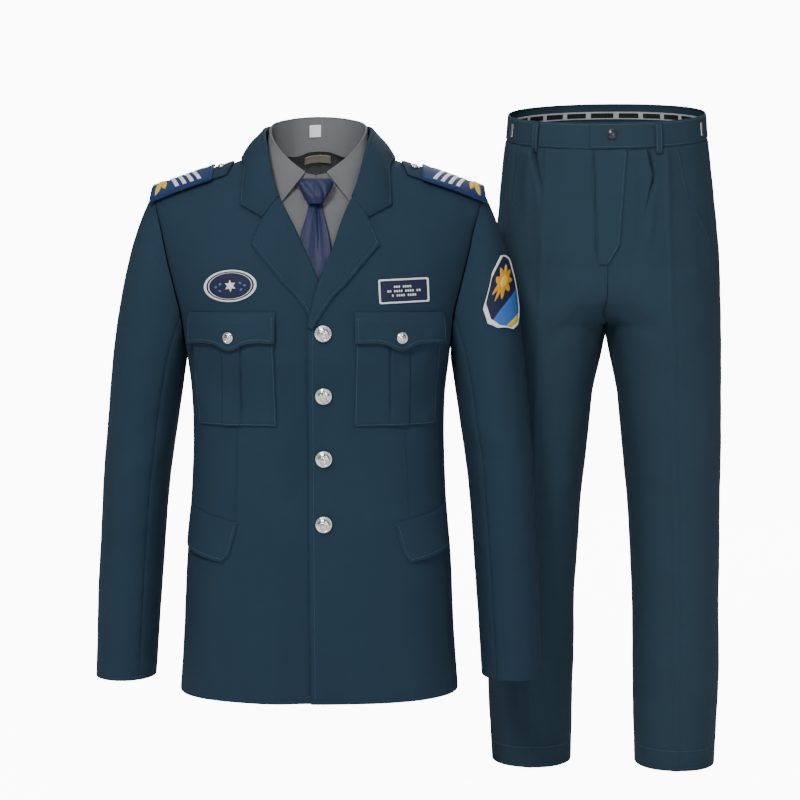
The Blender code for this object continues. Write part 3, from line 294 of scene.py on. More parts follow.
def trimmed(points, first=0.0, last=0.0, bottom=0.0, top=0.0):
    """Draws a sheet's edges in along itself, so that the pieces at a seam keep their gap."""
    points = points.copy()
    points[:, 0] += unit(points[:, 1] - points[:, 0]) * first
    points[:, -1] += unit(points[:, -2] - points[:, -1]) * last
    points[0] += unit(points[1] - points[0]) * bottom
    points[-1] += unit(points[-2] - points[-1]) * top
    return points


def rises(low=HEM):
    """Rows from the hem to the underarm, then one at each point round the armhole up to the ridge."""
    lower = np.linspace(low - UNDERARM, 0, BODY_ROWS, endpoint=False)
    return np.concatenate([lower, UPPER_RISES])


def blend_columns(first, last, count, crowd=1.0):
    """Columns between two edges, closer together near the first where crowd is over 1."""
    return first[:, None] + (last - first)[:, None] * np.linspace(0, 1, count)[None, :] ** crowd


def armhole(which, rise):
    return smooth(CHEST, which, np.clip(rise, 0, 1))


def front_grid(side, share):
    rise = rises()
    first = edge_turn(RIGHT_EDGE if side > 0 else LEFT_EDGE, rise, smooth, 30)
    last = np.minimum(FRONT_SEAM, armhole("front_armhole", rise))
    return first[:, None] + (last - first)[:, None] * share, rise[:, None]


def back_grid(share):
    rise = rises()
    neck = np.where(rise > BACK_NECK["rise"][0], straight(BACK_NECK, "x", rise), 0.0)
    first = 180 - turn_at(neck, rise)
    last = np.maximum(BACK_SEAM, 180 - armhole("back_armhole", rise))
    return first[:, None] + (last - first)[:, None] * share, rise[:, None]


def side_grid():
    """The side panel under the arm. Its top is the bottom of the armhole, point for point."""
    climb = UPPER_RISES[SEAM_STEP::-1]
    turn = np.concatenate([armhole("front_armhole", climb), 180 - armhole("back_armhole", climb[::-1][1:])])
    top = np.concatenate([climb, climb[::-1][1:]])
    lower = np.linspace(HEM - UNDERARM, 0, BODY_ROWS, endpoint=False)[:, None] + 0 * turn
    return np.vstack([turn] * (BODY_ROWS + 1)), np.vstack([lower, top])


FRONT_SEAM = armhole("front_armhole", UPPER_RISES[SEAM_STEP])
BACK_SEAM = 180 - armhole("back_armhole", UPPER_RISES[SEAM_STEP])


def armhole_place(share):
    share = share % 1.0
    rise = (1 + np.cos(2 * math.pi * share)) / 2
    return np.where(share <= 0.5, armhole("front_armhole", rise), 180 - armhole("back_armhole", rise)), rise


def armhole_loop(side, share):
    """Points round the armhole from the shoulder, down the front, under the arm and up the back."""
    points, normals = on_body(side, *armhole_place(share))
    ahead, _ = on_body(side, *armhole_place(share + 1e-4))
    behind, _ = on_body(side, *armhole_place(share - 1e-4))
    return points, normals, unit(np.cross(normals, ahead - behind)) * side


def sleeve_surface(side, share, cap, arm):
    """The sleeve's outer surface. share is the way round, cap the way down to CAP_END, arm the heights below it."""
    start, normals, outwards = armhole_loop(side, share)
    swing = 2 * math.pi * share
    top = (1 + np.cos(swing)) / 2
    spread = side * (0.45 * top + 0.12 * (1 - top) + 0.25 * np.sin(swing) ** 2)
    heading = unit(np.stack([spread, -0.35 * np.sin(swing), -0.9 + 0 * top], axis=-1))
    start = start + (normals * (1 - top)[:, None] + outwards) * (SEAM * 1.5)

    def ring(height):
        x = side * (smooth(SLEEVE, "x", height) + smooth(SLEEVE, "half_width", height) * np.cos(swing))
        y = smooth(SLEEVE, "y", height) - smooth(SLEEVE, "half_depth", height) * np.sin(swing)
        return np.stack([x, y, height + 0 * x], axis=-1)

    end = ring(CAP_END)
    fall = unit(ring(CAP_END - 0.01) - end)
    length = np.linalg.norm(end - start, axis=-1)[:, None]
    rows = []
    for t in cap:
        leave = (1 + 2 * t) * (1 - t) ** 2 * start + t * (1 - t) ** 2 * length * heading
        rows.append(leave + t * t * (3 - 2 * t) * end + t * t * (t - 1) * length * fall)
    rows += [ring(height) for height in arm]
    return np.array(rows), outwards


# Lapels, from the top button up to the gorge: where each row meets the roll line, and where it ends
LAPEL = table("row roll_height edge_x edge_height roll", """
    0 -.233 -.003 -.236 .0013
    1 -.216 .008 -.218 .0013
    2 -.19 .0265 -.1905 .0014
    3 -.168 .042 -.176 .0018
    4 -.136 .064 -.149 .0022
    5 -.101 .087 -.122 .0024
    6 -.078 .079 -.104 .0022
    7 -.059 .071 -.086 .0018
""")
LAPEL_SEAT = WOOL / 2 + REST * 2.4
ROLL_STEPS = 9
LEAF_SHARES = np.concatenate([np.linspace(0.04, 0.84, 18), np.linspace(0.86, 1.0, 16)])

# Collars, from the front end (0) round to the middle of the back: the fold, then the neck seam and the leaf's
# free edge as x and climb on the body
COLLAR = table("row fold_x fold_y fold_z seam_x seam_climb edge_x edge_climb swell", """
    0 .051 -.093 -.058 .0525 .722 .071 .652 0
    1 .0585 -.0905 -.038 .06 .777 .103 .75 .004
    2 .0655 -.074 -.01 .069 .842 .1015 .851 .0045
    3 .0715 -.045 .017 .078 .919 .1 .94 .004
    4 .0755 -.006 .0365 .084 1 .107 1 .003
    5 .071 .03 .044 .0642 1.022 .099 1.03 .003
    6 .056 .054 .0475 .048 1.051 .082 1.084 .003
    7 .031 .069 .049 .03 1.086 .045 1.148 .003
    8 0 .074 .0495 0 1.135 0 1.21 .003
""")
SHIRT_COLLAR = table("row fold_x fold_y fold_z seam_x seam_climb edge_x edge_climb swell", """
    0 .0005 -.077 -.027 0 .717 .0005 .705 0
    1 .015 -.0745 -.024 .014 .706 .05 .71 0
    2 .036 -.063 -.008 .038 .79 .068 .8 .002
    3 .056 -.039 .014 .06 .91 .079 .905 .0025
    4 .0665 -.005 .036 .074 1 .079 .997 .0005
    5 .0625 .028 .05 .0595 1.022 .0655 1.015 .0005
    6 .04 .054 .058 .039 1.06 .04 1.056 .0005
    7 .0185 .0625 .0612 .018 1.067 .0185 1.063 .0005
    8 0 .065 .062 0 1.069 0 1.065 .0005
""")
FOLD_RADIUS = 0.0020
SHIRT_FOLD_RADIUS = 0.0012
SHIRT_INSET = 0.0130
STAND_STEPS = 12
COLLAR_STEP = 0.1

# Shirt: its edges on the jacket's body before it is drawn in
SHIRT_HEM = -0.700
LABEL_WALL = 0.0008
SHIRT_EDGE = table("height x", """
    -.745 -.0165
    -.049 -.0165
    -.0465 .005
    -.041 .024
    -.029 .042
    -.008 .062
    .0127 .0755
""")
SHIRT_LAP = 0.0032
SHIRT_NECK = table("rise x", ".931 0  .933 .018  .94 .04  .974 .062  1 .0755")

# Tie: half-widths down the knot, then down the blade
KNOT = table("height half_width half_depth y", """
    -.0665 .01 .0045 -.097
    -.056 .016 .0075 -.0945
    -.045 .022 .009 -.0898
    -.0385 .024 .009 -.0873
    -.0325 .0195 .006 -.0858
""")
BLADE = table("height half_width lift", """
    -.5 .03 -.0088
    -.46 .039 -.0088
    -.35 .037 -.0088
    -.22 .032 -.0088
    -.15 .0265 -.0088
    -.125 .023 -.0088
    -.105 .0195 -.0086
    -.074 .0115 -.0092
    -.0655 .01 -.0095
""")
BLADE_POINT = 0.030
BLADE_WALL = 0.0024


def roll_point(side, height):
    return smooth(RIGHT_EDGE if side > 0 else LEFT_EDGE, "x", height)


def lapel_grid(side, between):
    """Middle of the lapel's wall: from the front's edge over the roll, then out to the free edge."""
    row = np.arange(0, len(LAPEL["row"]) - 1 + 1e-9, 1 / between)
    roll_height = straight(LAPEL, "roll_height", row)
    edge_x = straight(LAPEL, "edge_x", row)
    edge_height = straight(LAPEL, "edge_height", row)
    radius = straight(LAPEL, "roll", row)
    roll_x = roll_point(side, roll_height)
    swing = np.linspace(0, math.pi, ROLL_STEPS)
    x = roll_x[:, None] - radius[:, None] * np.sin(swing)
    lift = -WOOL / 2 + radius[:, None] * (1 - np.cos(swing))
    height = roll_height[:, None] + 0 * x
    share = LEAF_SHARES
    crest = 2 * radius[:, None] - WOOL / 2
    leaf_x = roll_x[:, None] + (edge_x - roll_x)[:, None] * share
    leaf_height = roll_height[:, None] + (edge_height - roll_height)[:, None] * share
    leaf_lift = LAPEL_SEAT + (crest - LAPEL_SEAT) * (1 - share) ** 2
    x = np.hstack([x, leaf_x])
    height = np.hstack([height, leaf_height])
    points, _ = on_front(side, x, height, np.hstack([lift, leaf_lift]))
    return points


def collar_column(columns, name, row):
    """Straight up to the tip of the leaf, and smooth round the neck after it."""
    rest = {"row": columns["row"][1:], name: columns[name][1:]}
    return np.where(row < 1, straight(columns, name, row), smooth(rest, name, np.maximum(row, 1)))


def collar_grid(columns, inset, radius, wall):
    """Middle of a folded collar's wall, from the neck seam up the stand, over the fold and down the leaf."""
    half = np.concatenate([[0.0], np.arange(1, columns["row"][-1] + 1e-9, COLLAR_STEP)])
    row = np.concatenate([half, half[::-1][1:]])
    side = np.where(np.arange(len(row)) < len(half), 1.0, -1.0)
    read = {name: collar_column(columns, name, row) for name in columns}
    mirror = np.stack([side, 1 + 0 * side, 1 + 0 * side], axis=-1)
    seam, _ = over(1, read["seam_x"], read["seam_climb"], -inset - wall / 2)
    edge, _ = over(1, read["edge_x"], read["edge_climb"], -inset + REST * 3 + wall / 2)
    fold = np.stack([read["fold_x"], read["fold_y"], read["fold_z"]], axis=-1)
    seam, edge, fold = seam * mirror, edge * mirror, fold * mirror
    along = unit(np.gradient(fold, axis=0))
    out = fold * np.array([1, 1, 0])
    out = unit(out - (out * along).sum(axis=-1, keepdims=True) * along)
    crest = np.cross(along, out)
    crest = crest * np.sign(crest[len(row) // 2, 2])
    seam = seam - out * (wall / 2 + REST * 5) + crest * REST
    columns_out = []
    for t in np.linspace(0, 1, STAND_STEPS, endpoint=False):
        columns_out.append(seam + (fold - out * radius - seam) * t)
    for swing in np.linspace(0, math.pi, ROLL_STEPS):
        columns_out.append(fold - out * radius * math.cos(swing) + crest * radius * math.sin(swing))
    fall = edge - fold - out * radius
    bulge = unit(np.cross(along, fall))
    bulge = bulge * np.sign((bulge * out).sum(axis=-1, keepdims=True))
    for t in LEAF_SHARES:
        lift = bulge * (read["swell"] * math.sin(math.pi * t))[:, None]
        columns_out.append(fold + out * radius + fall * t + lift)
    return np.stack(columns_out, axis=1)


# Breast pockets: height and x of the corners, the same on both sides
POCKET_LIFT = 0.0014
POCKET_TOP = -0.2140
POCKET_BOTTOM = -0.3670
POCKET_INNER = (0.0560, 0.0520)
POCKET_OUTER = (0.1690, 0.1600)
PLEAT_CENTRE = 0.1135
PLEAT_HALF = 0.0125
PLEAT_RISE = 0.0016
FLAP_INNER = 0.0530
FLAP_OUTER = 0.1730
FLAP_DROP = table("share drop", "0 .0425  .33 .044  .5 .0525  .67 .044  1 .0425")
HIP_FLAP = table("share inner_turn inner_height outer_turn outer_height", """
    0 31.5 -.499 76 -.48
    .8 35.5 -.543 79 -.528
    1 39 -.5545 79 -.538
""")

# Buttons: where they sit, and their size beside the front ones
FRONT_BUTTONS = table("height lift", "-.2414 .0006  -.3255 .001  -.4115 .001  -.4998 .001")
FRONT_BUTTON_X = 0.0113
POCKET_BUTTON_HEIGHT = -0.2470
POCKET_BUTTON_SCALE = 0.70
BOARD_BUTTON_SCALE = 0.55
BOARD_BUTTON_PLACE = (0.1335, 0.130)

# Shoulder straps and boards: x along the shoulder, then across it from the front edge to the back one.
# Across is the square root of how far the cloth has fallen from the ridge, positive in front.
STRAP = table("x front back", """
    .116 .12 .08
    .124 .265 0
    .16 .265 -.06
    .229 .275 -.24
""")
BOARD = table("x front back", ".143 .285 -.02  .186 .288 -.15  .23 .295 -.275")
BOARD_WALL = 0.0026
STRAP_LIFT = 0.0015

# Badges: the chest badge, the name tag and the sleeve patch. A leaf's row is x, y, length and lean on the badge,
# and x, y and turn on the board
BADGE_LEAVES = ((0.0135, 0.0030, 0.0050, 25), (0.0195, -0.0005, 0.0045, 10), (0.0145, -0.0060, 0.0045, -25))
BOARD_LEAVES = ((0.0060, 0.0, 0), (-0.0050, 0.36, 118), (-0.0050, -0.36, 242), (0.0020, 0.50, 62), (0.0020, -0.50, 298))
BADGE_CENTRE = (0.1140, -0.1776)
BADGE_HALF = (0.0360, 0.0215)
BADGE_TILT = 4.0
TAG_CENTRE = (0.1190, -0.1840)
TAG_HALF = (0.0335, 0.0165)
TAG_TILT = -3.0
BADGE_WALL = 0.0012
PATCH = table("share left right", """
    .26 .175 .115
    .33 .245 .04
    .45 .24 .02
    .54 .205 .04
    .62 .135 .1
""")


def across_shoulder(side, x, across, lift):
    return over(side, x, 1 - signed_power(np.asarray(across, float), 2), lift)


def turned_outline(outline, centre, tilt):
    angle = math.radians(tilt)
    spin = np.array([[math.cos(angle), math.sin(angle)], [-math.sin(angle), math.cos(angle)]])
    return np.asarray(outline) @ spin + np.asarray(centre)


# Trousers, in their own frame: rings from the hem up to the waist. centre and outer are x of one half's ring
TROUSERS = table("height outer centre front_depth back_depth crease", """
    -.883 .165 .106 .068 .07 .106
    -.77 .1705 .1075 .071 .073 .107
    -.63 .17 .106 .076 .078 .1055
    -.49 .1705 .102 .084 .086 .102
    -.333 .1705 .094 .098 .102 .097
    -.235 .1685 .084 .108 .115 .093
    -.213 .1682 .064 .111 .12 .092
    -.19 .1675 .032 .114 .124 .091
    -.15 .166 0 .116 .126 .09
    -.074 .159 0 .113 .122 .087
    -.022 .154 0 .109 .116 .085
    .0375 .1475 0 .105 .106 .083
    .0745 .1445 0 .102 .102 .083
""")
TROUSER_PLACE = (0.4165, 0.1302, 0.0)
TROUSER_TURN = -6.0
RIM_TILT = 0.22
CREASE_RISE = 0.0022
WAIST_SEAM = 0.0375
# Creases fade out over this height below the band
DRAPE_FADE = 0.0110
# and over this width towards the centre seam
SEAM_STILL = 0.030
RIM = 0.0745
BAND = 0.0020
BAND_START = -8.0
TAB_WALL = 0.0012
TAB_TURN = 67.0
TAB_HALF = 1.4
TAB_HEIGHTS = np.array([0.0470, 0.0655])
TAPE_TOP = 0.0120
TAPE_BOTTOM = 0.0235
# Dark dashes on the tape: start, end and step in degrees, then the degrees and half the height of each
DASHES = (46, 312, 14.5)
DASH_TURN = 11.6
DASH_HALF = 0.0036
WAIST_BUTTON_SCALE = 0.68
WAIST_BUTTON_TURN = 2.4
WAIST_BUTTON_HEIGHT = 0.0585
BAND_END = 365.0
# The band's start lies over its end, and comes down to the cloth over these degrees
BAND_LAP_END = 40.0
BAND_LAP_FADE = 25.0
FLY_EDGE = table("height left right", "-.148 -.01 .004  -.12 -.014 .02  .0365 -.016 .029")
LOOPS = (
    ("front_left", 1, 28.0),
    ("front_right", -1, 41.5),
    ("back_left", 1, 128.0),
    ("back_right", -1, 128.0),
    ("back", 1, 180.0),
)
LOOP_HALF = 2.2
LOOP = table("height lift", ".03 .0008  .042 .003  .064 .003  .074 .0008")


def trouser_surface(turn, height):
    """The trousers' outer surface. turn is as on the jacket, and below 0 on towards the inside of the leg."""
    turn, height = np.broadcast_arrays(np.radians(turn), np.asarray(height, float))
    centre = straight(TROUSERS, "centre", height)
    width = smooth(TROUSERS, "outer", height) - centre
    forward = signed_power(np.cos(turn), 0.93)
    depth = np.where(forward > 0, smooth(TROUSERS, "front_depth", height), smooth(TROUSERS, "back_depth", height))
    x = centre + width * signed_power(np.sin(turn), 0.93)
    y = -depth * forward
    tilt = np.clip((height + 0.14) / 0.17, 0, 1)
    return np.stack([x, y, height + RIM_TILT * y * tilt * tilt * (3 - 2 * tilt)], axis=-1)


def trouser_turn(x, height):
    """Where round the ring a point at this x is, in front."""
    centre = straight(TROUSERS, "centre", height)
    width = smooth(TROUSERS, "outer", height) - centre
    return np.degrees(np.arcsin(signed_power(np.clip((x - centre) / width, -1, 1), 1 / 0.93)))


def on_trousers(side, turn, height, lift=0.0):
    step = 1e-4
    turn, height = np.broadcast_arrays(np.asarray(turn, float), np.asarray(height, float))
    points = trouser_surface(turn, height)
    along = trouser_surface(turn + 0.01, height) - trouser_surface(turn - 0.01, height)
    up = trouser_surface(turn, height + step) - trouser_surface(turn, height - step)
    normals = unit(np.cross(along, up))
    mirror = np.ones(points.shape)
    mirror[..., 0] = side
    points, normals = points * mirror, normals * mirror
    drop = trouser_drape(points) * np.clip((WAIST_SEAM + 0.0004 - height) / DRAPE_FADE, 0, 1)
    return points + normals * (lift + drop)[..., None], normals


def placed(points, normals):
    """From the trousers' own frame to where they stand beside the jacket."""
    angle = math.radians(TROUSER_TURN)
    spin = np.array([[math.cos(angle), math.sin(angle), 0], [-math.sin(angle), math.cos(angle), 0], [0, 0, 1]])
    return points @ spin + np.array(TROUSER_PLACE), normals @ spin


def round_waist(swing, height, lift):
    """Points all round the waist. swing is 0 at the front, 90 on the viewer's right and 180 at the back."""
    turn = np.abs((np.asarray(swing, float) + 180) % 360 - 180)
    side = np.where((np.asarray(swing, float) + 180) % 360 - 180 < 0, -1.0, 1.0)
    return on_trousers(side + 0 * np.asarray(height), turn, height, lift)


# Soft creases of the jacket: where each runs, how wide it is and how far it rises (or sinks, below 0)
FRONT_CREASES = table("side x0 z0 x1 z1 width rise", """
    1 .165 -.235 .11 -.33 .016 .0016
    1 .175 -.29 .12 -.375 .014 -.0014
    1 .15 -.38 .07 -.41 .02 .0014
    1 .06 -.425 .14 -.47 .018 -.0012
    1 .14 -.09 .155 -.19 .02 .0014
    1 .12 -.52 .135 -.74 .03 .002
    1 .055 -.56 .05 -.74 .028 -.0014
    1 .02 -.34 .06 -.38 .012 .0009
    -1 .16 -.24 .105 -.345 .017 -.0015
    -1 .172 -.3 .1 -.4 .015 .0015
    -1 .145 -.395 .06 -.42 .019 -.0013
    -1 .05 -.44 .13 -.48 .017 .0013
    -1 .138 -.1 .15 -.2 .021 .0015
    -1 .11 -.54 .128 -.74 .032 -.0016
    -1 .06 -.545 .062 -.74 .03 .0018
    -1 .03 -.42 .075 -.45 .012 .0008
""")
BACK_CREASES = table("side x0 z0 x1 z1 width rise", """
    1 .15 -.26 .06 -.34 .02 .0022
    1 .16 -.33 .04 -.4 .018 -.002
    1 .12 -.43 .02 -.45 .022 .002
    1 .09 -.52 .1 -.74 .034 .0026
    1 .06 -.06 .14 -.11 .024 .0014
    -1 .155 -.27 .05 -.33 .021 -.002
    -1 .15 -.35 .03 -.41 .018 .0022
    -1 .115 -.44 .03 -.47 .021 -.0018
    -1 .085 -.53 .092 -.74 .036 -.002
    -1 .05 -.07 .13 -.12 .026 .0012
""")

# The same on the sleeves, by the share of the way round and the height
SLEEVE_CREASES = table("side s0 z0 s1 z1 width rise", """
    1 .06 -.15 .2 -.3 .018 .0016
    1 .3 -.25 .12 -.34 .014 -.0016
    1 .4 -.36 .2 -.4 .013 .0019
    1 .42 -.4 .18 -.43 .012 -.0018
    1 .12 -.43 .34 -.47 .014 .0018
    1 .9 -.38 .7 -.44 .016 .0022
    1 .92 -.45 .66 -.48 .015 -.002
    1 .05 -.56 .28 -.64 .018 .0014
    -1 .05 -.14 .18 -.29 .018 -.0014
    -1 .28 -.24 .1 -.33 .015 .0017
    -1 .38 -.35 .18 -.41 .013 -.0018
    -1 .4 -.41 .16 -.45 .012 .0019
    -1 .14 -.45 .36 -.48 .014 -.0016
    -1 .88 -.37 .68 -.43 .016 .0022
    -1 .9 -.44 .64 -.49 .015 -.002
    -1 .08 -.59 .3 -.66 .018 .0013
""")

# And on the trousers, in their own frame: front is 1 on the front and -1 on the back
TROUSER_CREASES = table("front x0 z0 x1 z1 width rise", """
    1 -.133 .039 -.141 -.06 .008 .003
    1 -.142 .034 -.15 -.06 .006 -.003
    1 -.11 .02 -.115 -.07 .007 .0026
    1 -.096 -.01 -.092 -.12 .009 .0024
    1 .051 .01 .05 -.12 .009 -.002
    1 .066 -.04 .056 -.13 .008 .0028
    1 .086 .03 .09 -.06 .008 .0024
    1 .05 -.2 .016 -.165 .012 .0028
    1 -.05 -.21 -.016 -.17 .012 .0026
    1 .08 -.25 .02 -.205 .013 -.0026
    1 -.08 -.255 -.02 -.21 .013 -.0024
    1 .145 -.15 .07 -.205 .016 .0024
    1 -.145 -.18 -.07 -.225 .016 .0022
    1 .13 -.09 .15 -.2 .012 -.002
    1 .055 -.44 .135 -.48 .018 .0026
    1 .145 -.5 .06 -.545 .019 -.0024
    1 .055 -.57 .13 -.6 .018 .002
    1 -.055 -.46 -.135 -.49 .018 .0026
    1 -.14 -.52 -.055 -.555 .019 -.0024
    1 .06 -.8 .145 -.845 .015 .0026
    1 .135 -.76 .07 -.785 .015 -.002
    1 -.06 -.79 -.145 -.835 .015 .0026
    1 .16 -.25 .145 -.42 .018 .0022
    1 -.16 -.26 -.145 -.4 .018 .0022
    -1 .03 -.12 .12 -.22 .018 .0028
    -1 -.03 -.13 -.12 -.23 .018 .0028
    -1 .04 -.26 .13 -.25 .014 -.003
    -1 -.04 -.265 -.13 -.255 .014 -.0028
    -1 .06 -.45 .145 -.48 .015 .0032
    -1 .145 -.5 .06 -.52 .015 -.003
    -1 -.06 -.46 -.145 -.49 .015 .0032
    -1 -.145 -.51 -.06 -.53 .015 -.0028
    -1 .05 -.7 .13 -.76 .02 .0024
    -1 -.05 -.69 -.13 -.75 .02 .0024
""")

# Pleats that are pressed into the front of the trousers: where the fold's edge runs, in their own frame, and which
# way the cloth lies over it (1 towards the viewer's right)
PLEATS = (
    (table("height x", "-.075 -.09  -.028 -.097  .007 -.1042  .04 -.108"), -1, 0.0068),
    (table("height x", "-.1 .05  -.047 .0605  -.023 .0664  .012 .0579  .04 .052"), -1, 0.0062),
)
PLEAT_FULL = 0.010
PLEAT_LIP = 0.0007
PLEAT_SLOPE = 0.018
PLEAT_GROOVE = 0.0080
FLY_LINE = table("height x", "-.148 -.0118  .016 -.018")
FLY_DIP = 0.0026


def pleated(points):
    """How far the cloth of a pleat stands out: a sharp edge on one side, and a slope on the other that ends below."""
    x, z = points[..., 0], points[..., 2]
    total = np.zeros(x.shape)
    for path, way, depth in PLEATS:
        low = path["height"][0]
        away = (x - straight(path, "x", z)) * way
        fade = np.clip((z - low) / (PLEAT_FULL - low), 0, 1) ** 1.5
        raised = 0.5 + 0.5 * np.tanh(away / PLEAT_LIP)
        total += depth * fade * raised * np.exp(-np.maximum(away, 0) / PLEAT_SLOPE)
        total -= PLEAT_GROOVE * fade * np.exp(-((away + 0.0014) / 0.0024) ** 2)
    slit = x - straight(FLY_LINE, "x", z)
    total -= FLY_DIP * np.exp(-((slit / 0.0017) ** 2)) * np.clip((z + 0.15) / 0.02, 0, 1)
    return np.where(points[..., 1] < 0, total, 0.0)


def trouser_drape(points):
    """Creases and pleats of the trousers. The centre seam stays where it is, so that the legs still meet."""
    soft = creased(points, TROUSER_CREASES, TROUSER_ENDS) + ripple(points, 0.0009)
    return soft * np.clip(np.abs(points[..., 0]) / SEAM_STILL - 0.35, 0, 1) + pleated(points)


def along_segment(points, start, end, width):
    """How strongly a crease from start to end shows at each point: 1 on its line, and fading off it and at its ends."""
    line = end - start
    share = np.clip((points - start) @ line / (line @ line), 0, 1)
    away = points - start - share[..., None] * line
    return np.exp(-(away * away).sum(axis=-1) / width**2) * np.sin(math.pi * (0.08 + 0.84 * share)) ** 0.6


def crease_ends(creases, back=False):
    """Where creases of the jacket begin and end, on its body before it is creased."""
    ends = []
    for k in "01":
        x, z = creases["x" + k], creases["z" + k]
        rise = rise_at(x, z)
        turn = turn_at(x, rise)
        points = body_surface(180 - turn if back else turn, rise)
        points[..., 0] *= creases["side"]
        ends.append(points)
    return ends


def creased(points, creases, ends):
    total = np.zeros(points.shape[:-1])
    for i, rise in enumerate(creases["rise"]):
        total += rise * along_segment(points, ends[0][i], ends[1][i], creases["width"][i])
    return total


def ripple(points, size):
    """A slight unevenness that no flat-pressed cloth is without."""
    x, y, z = points[..., 0], points[..., 1], points[..., 2]
    wide = np.sin(31 * x + 17 * z + 1.3) * np.sin(23 * z - 29 * y + 0.4)
    fine = np.sin(83 * x - 61 * z + 2.1) * np.sin(71 * z + 53 * y + 1.1)
    return size * (0.7 * wide + 0.3 * fine)


FRONT_ENDS = crease_ends(FRONT_CREASES)
BACK_ENDS = crease_ends(BACK_CREASES, True)


def drape(points):
    lift = creased(points, FRONT_CREASES, FRONT_ENDS) + creased(points, BACK_CREASES, BACK_ENDS)
    return 1.25 * lift + ripple(points, 0.0006)


def sleeve_drape(side, share, z):
    """share and z are grids. The way round is measured on a sleeve 0.30 m round, so that a crease can cross share 0."""
    total = ripple(np.stack([0.3 * share, 0 * z, z], axis=-1), 0.0006)
    for i, rise in enumerate(SLEEVE_CREASES["rise"]):
        if SLEEVE_CREASES["side"][i] != side:
            continue
        start = np.array([0.3 * SLEEVE_CREASES["s0"][i], SLEEVE_CREASES["z0"][i]])
        end = np.array([0.3 * SLEEVE_CREASES["s1"][i], SLEEVE_CREASES["z1"][i]])
        for turn in (-0.3, 0.0, 0.3):
            at = np.stack([0.3 * share + turn, z], axis=-1)
            total += rise * along_segment(at, start, end, SLEEVE_CREASES["width"][i])
    return total


def trouser_ends():
    ends = []
    for x, z in (("x0", "z0"), ("x1", "z1")):
        across, height = TROUSER_CREASES[x], TROUSER_CREASES[z]
        turn = trouser_turn(np.abs(across), height)
        turn = np.where(TROUSER_CREASES["front"] > 0, turn, 180 - turn)
        points = trouser_surface(turn, height)
        points[..., 0] *= np.sign(across)
        ends.append(points)
    return ends


TROUSER_ENDS = trouser_ends()


# Materials


def new_material(name):
    made = bpy.data.materials.new(name)
    made.use_nodes = True
    return made, made.node_tree, made.node_tree.nodes["Principled BSDF"]


def put(node, values):
    for name, value in values.items():
        node.inputs[name].default_value = value


def add_node(tree, kind, **values):
    node = tree.nodes.new(kind)
    for name, value in values.items():
        if name in node.inputs:
            node.inputs[name].default_value = value
        else:
            setattr(node, name, value)
    return node


def cloth(name, dark, light, twill, roughness, sheen, grain=1400.0, mottle=0.5, bump=0.25):
    """Woven cloth: a twill of fine ridges, the flecks of its yarns, and wide uneven patches."""
    made, tree, shader = new_material(name)
    put(shader, {"Roughness": roughness, "Specular IOR Level": 0.25})
    put(shader, {"Sheen Weight": sheen, "Sheen Roughness": 0.45, "Sheen Tint": (*light, 1.0)})
    link = tree.links.new
    where = add_node(tree, "ShaderNodeTexCoord")
    turn = add_node(tree, "ShaderNodeMapping", Rotation=(0.0, 0.0, math.radians(twill[0])), Scale=(1.0, 1.0, 1.0))
    link(where.outputs["UV"], turn.inputs["Vector"])
    ridges = add_node(tree, "ShaderNodeTexWave", Scale=twill[1], Distortion=1.2, Detail=1.0)
    ridges.inputs["Detail Scale"].default_value = 2.0
    link(turn.outputs["Vector"], ridges.inputs["Vector"])
    flecks = add_node(tree, "ShaderNodeTexNoise", Scale=grain, Detail=3.0, Roughness=0.7)
    link(where.outputs["Object"], flecks.inputs["Vector"])
    patches = add_node(tree, "ShaderNodeTexNoise", Scale=9.0, Detail=4.0, Roughness=0.6)
    link(where.outputs["Object"], patches.inputs["Vector"])
    both = add_node(tree, "ShaderNodeMix", data_type="FLOAT")
    put(both, {0: mottle})
    link(flecks.outputs["Fac"], both.inputs[2])
    link(patches.outputs["Fac"], both.inputs[3])
    colour = add_node(tree, "ShaderNodeMix", data_type="RGBA")
    put(colour, {6: (*dark, 1.0), 7: (*light, 1.0)})
    link(both.outputs[0], colour.inputs[0])
    link(colour.outputs[2], shader.inputs["Base Color"])
    height = add_node(tree, "ShaderNodeMath", operation="ADD")
    link(ridges.outputs["Fac"], height.inputs[0])
    link(flecks.outputs["Fac"], height.inputs[1])
    raised = add_node(tree, "ShaderNodeBump", Strength=bump, Distance=0.0006)
    link(height.outputs[0], raised.inputs["Height"])
    link(raised.outputs["Normal"], shader.inputs["Normal"])
    return made


def metal(name, colour, roughness):
    """Plated metal with fine wear: small scratches in the roughness and slight dents."""
    made, tree, shader = new_material(name)
    put(shader, {"Metallic": 1.0, "Base Color": (*colour, 1.0)})
    where = add_node(tree, "ShaderNodeTexCoord")
    wear = add_node(tree, "ShaderNodeTexNoise", Scale=700.0, Detail=4.0, Roughness=0.6)
    tree.links.new(where.outputs["Object"], wear.inputs["Vector"])
    spread = add_node(tree, "ShaderNodeMapRange")
    put(spread, {"To Min": roughness * 0.7, "To Max": roughness * 1.4})
    tree.links.new(wear.outputs["Fac"], spread.inputs["Value"])
    tree.links.new(spread.outputs["Result"], shader.inputs["Roughness"])
    dents = add_node(tree, "ShaderNodeBump", Strength=0.08, Distance=0.0003)
    tree.links.new(wear.outputs["Fac"], dents.inputs["Height"])
    tree.links.new(dents.outputs["Normal"], shader.inputs["Normal"])
    return made


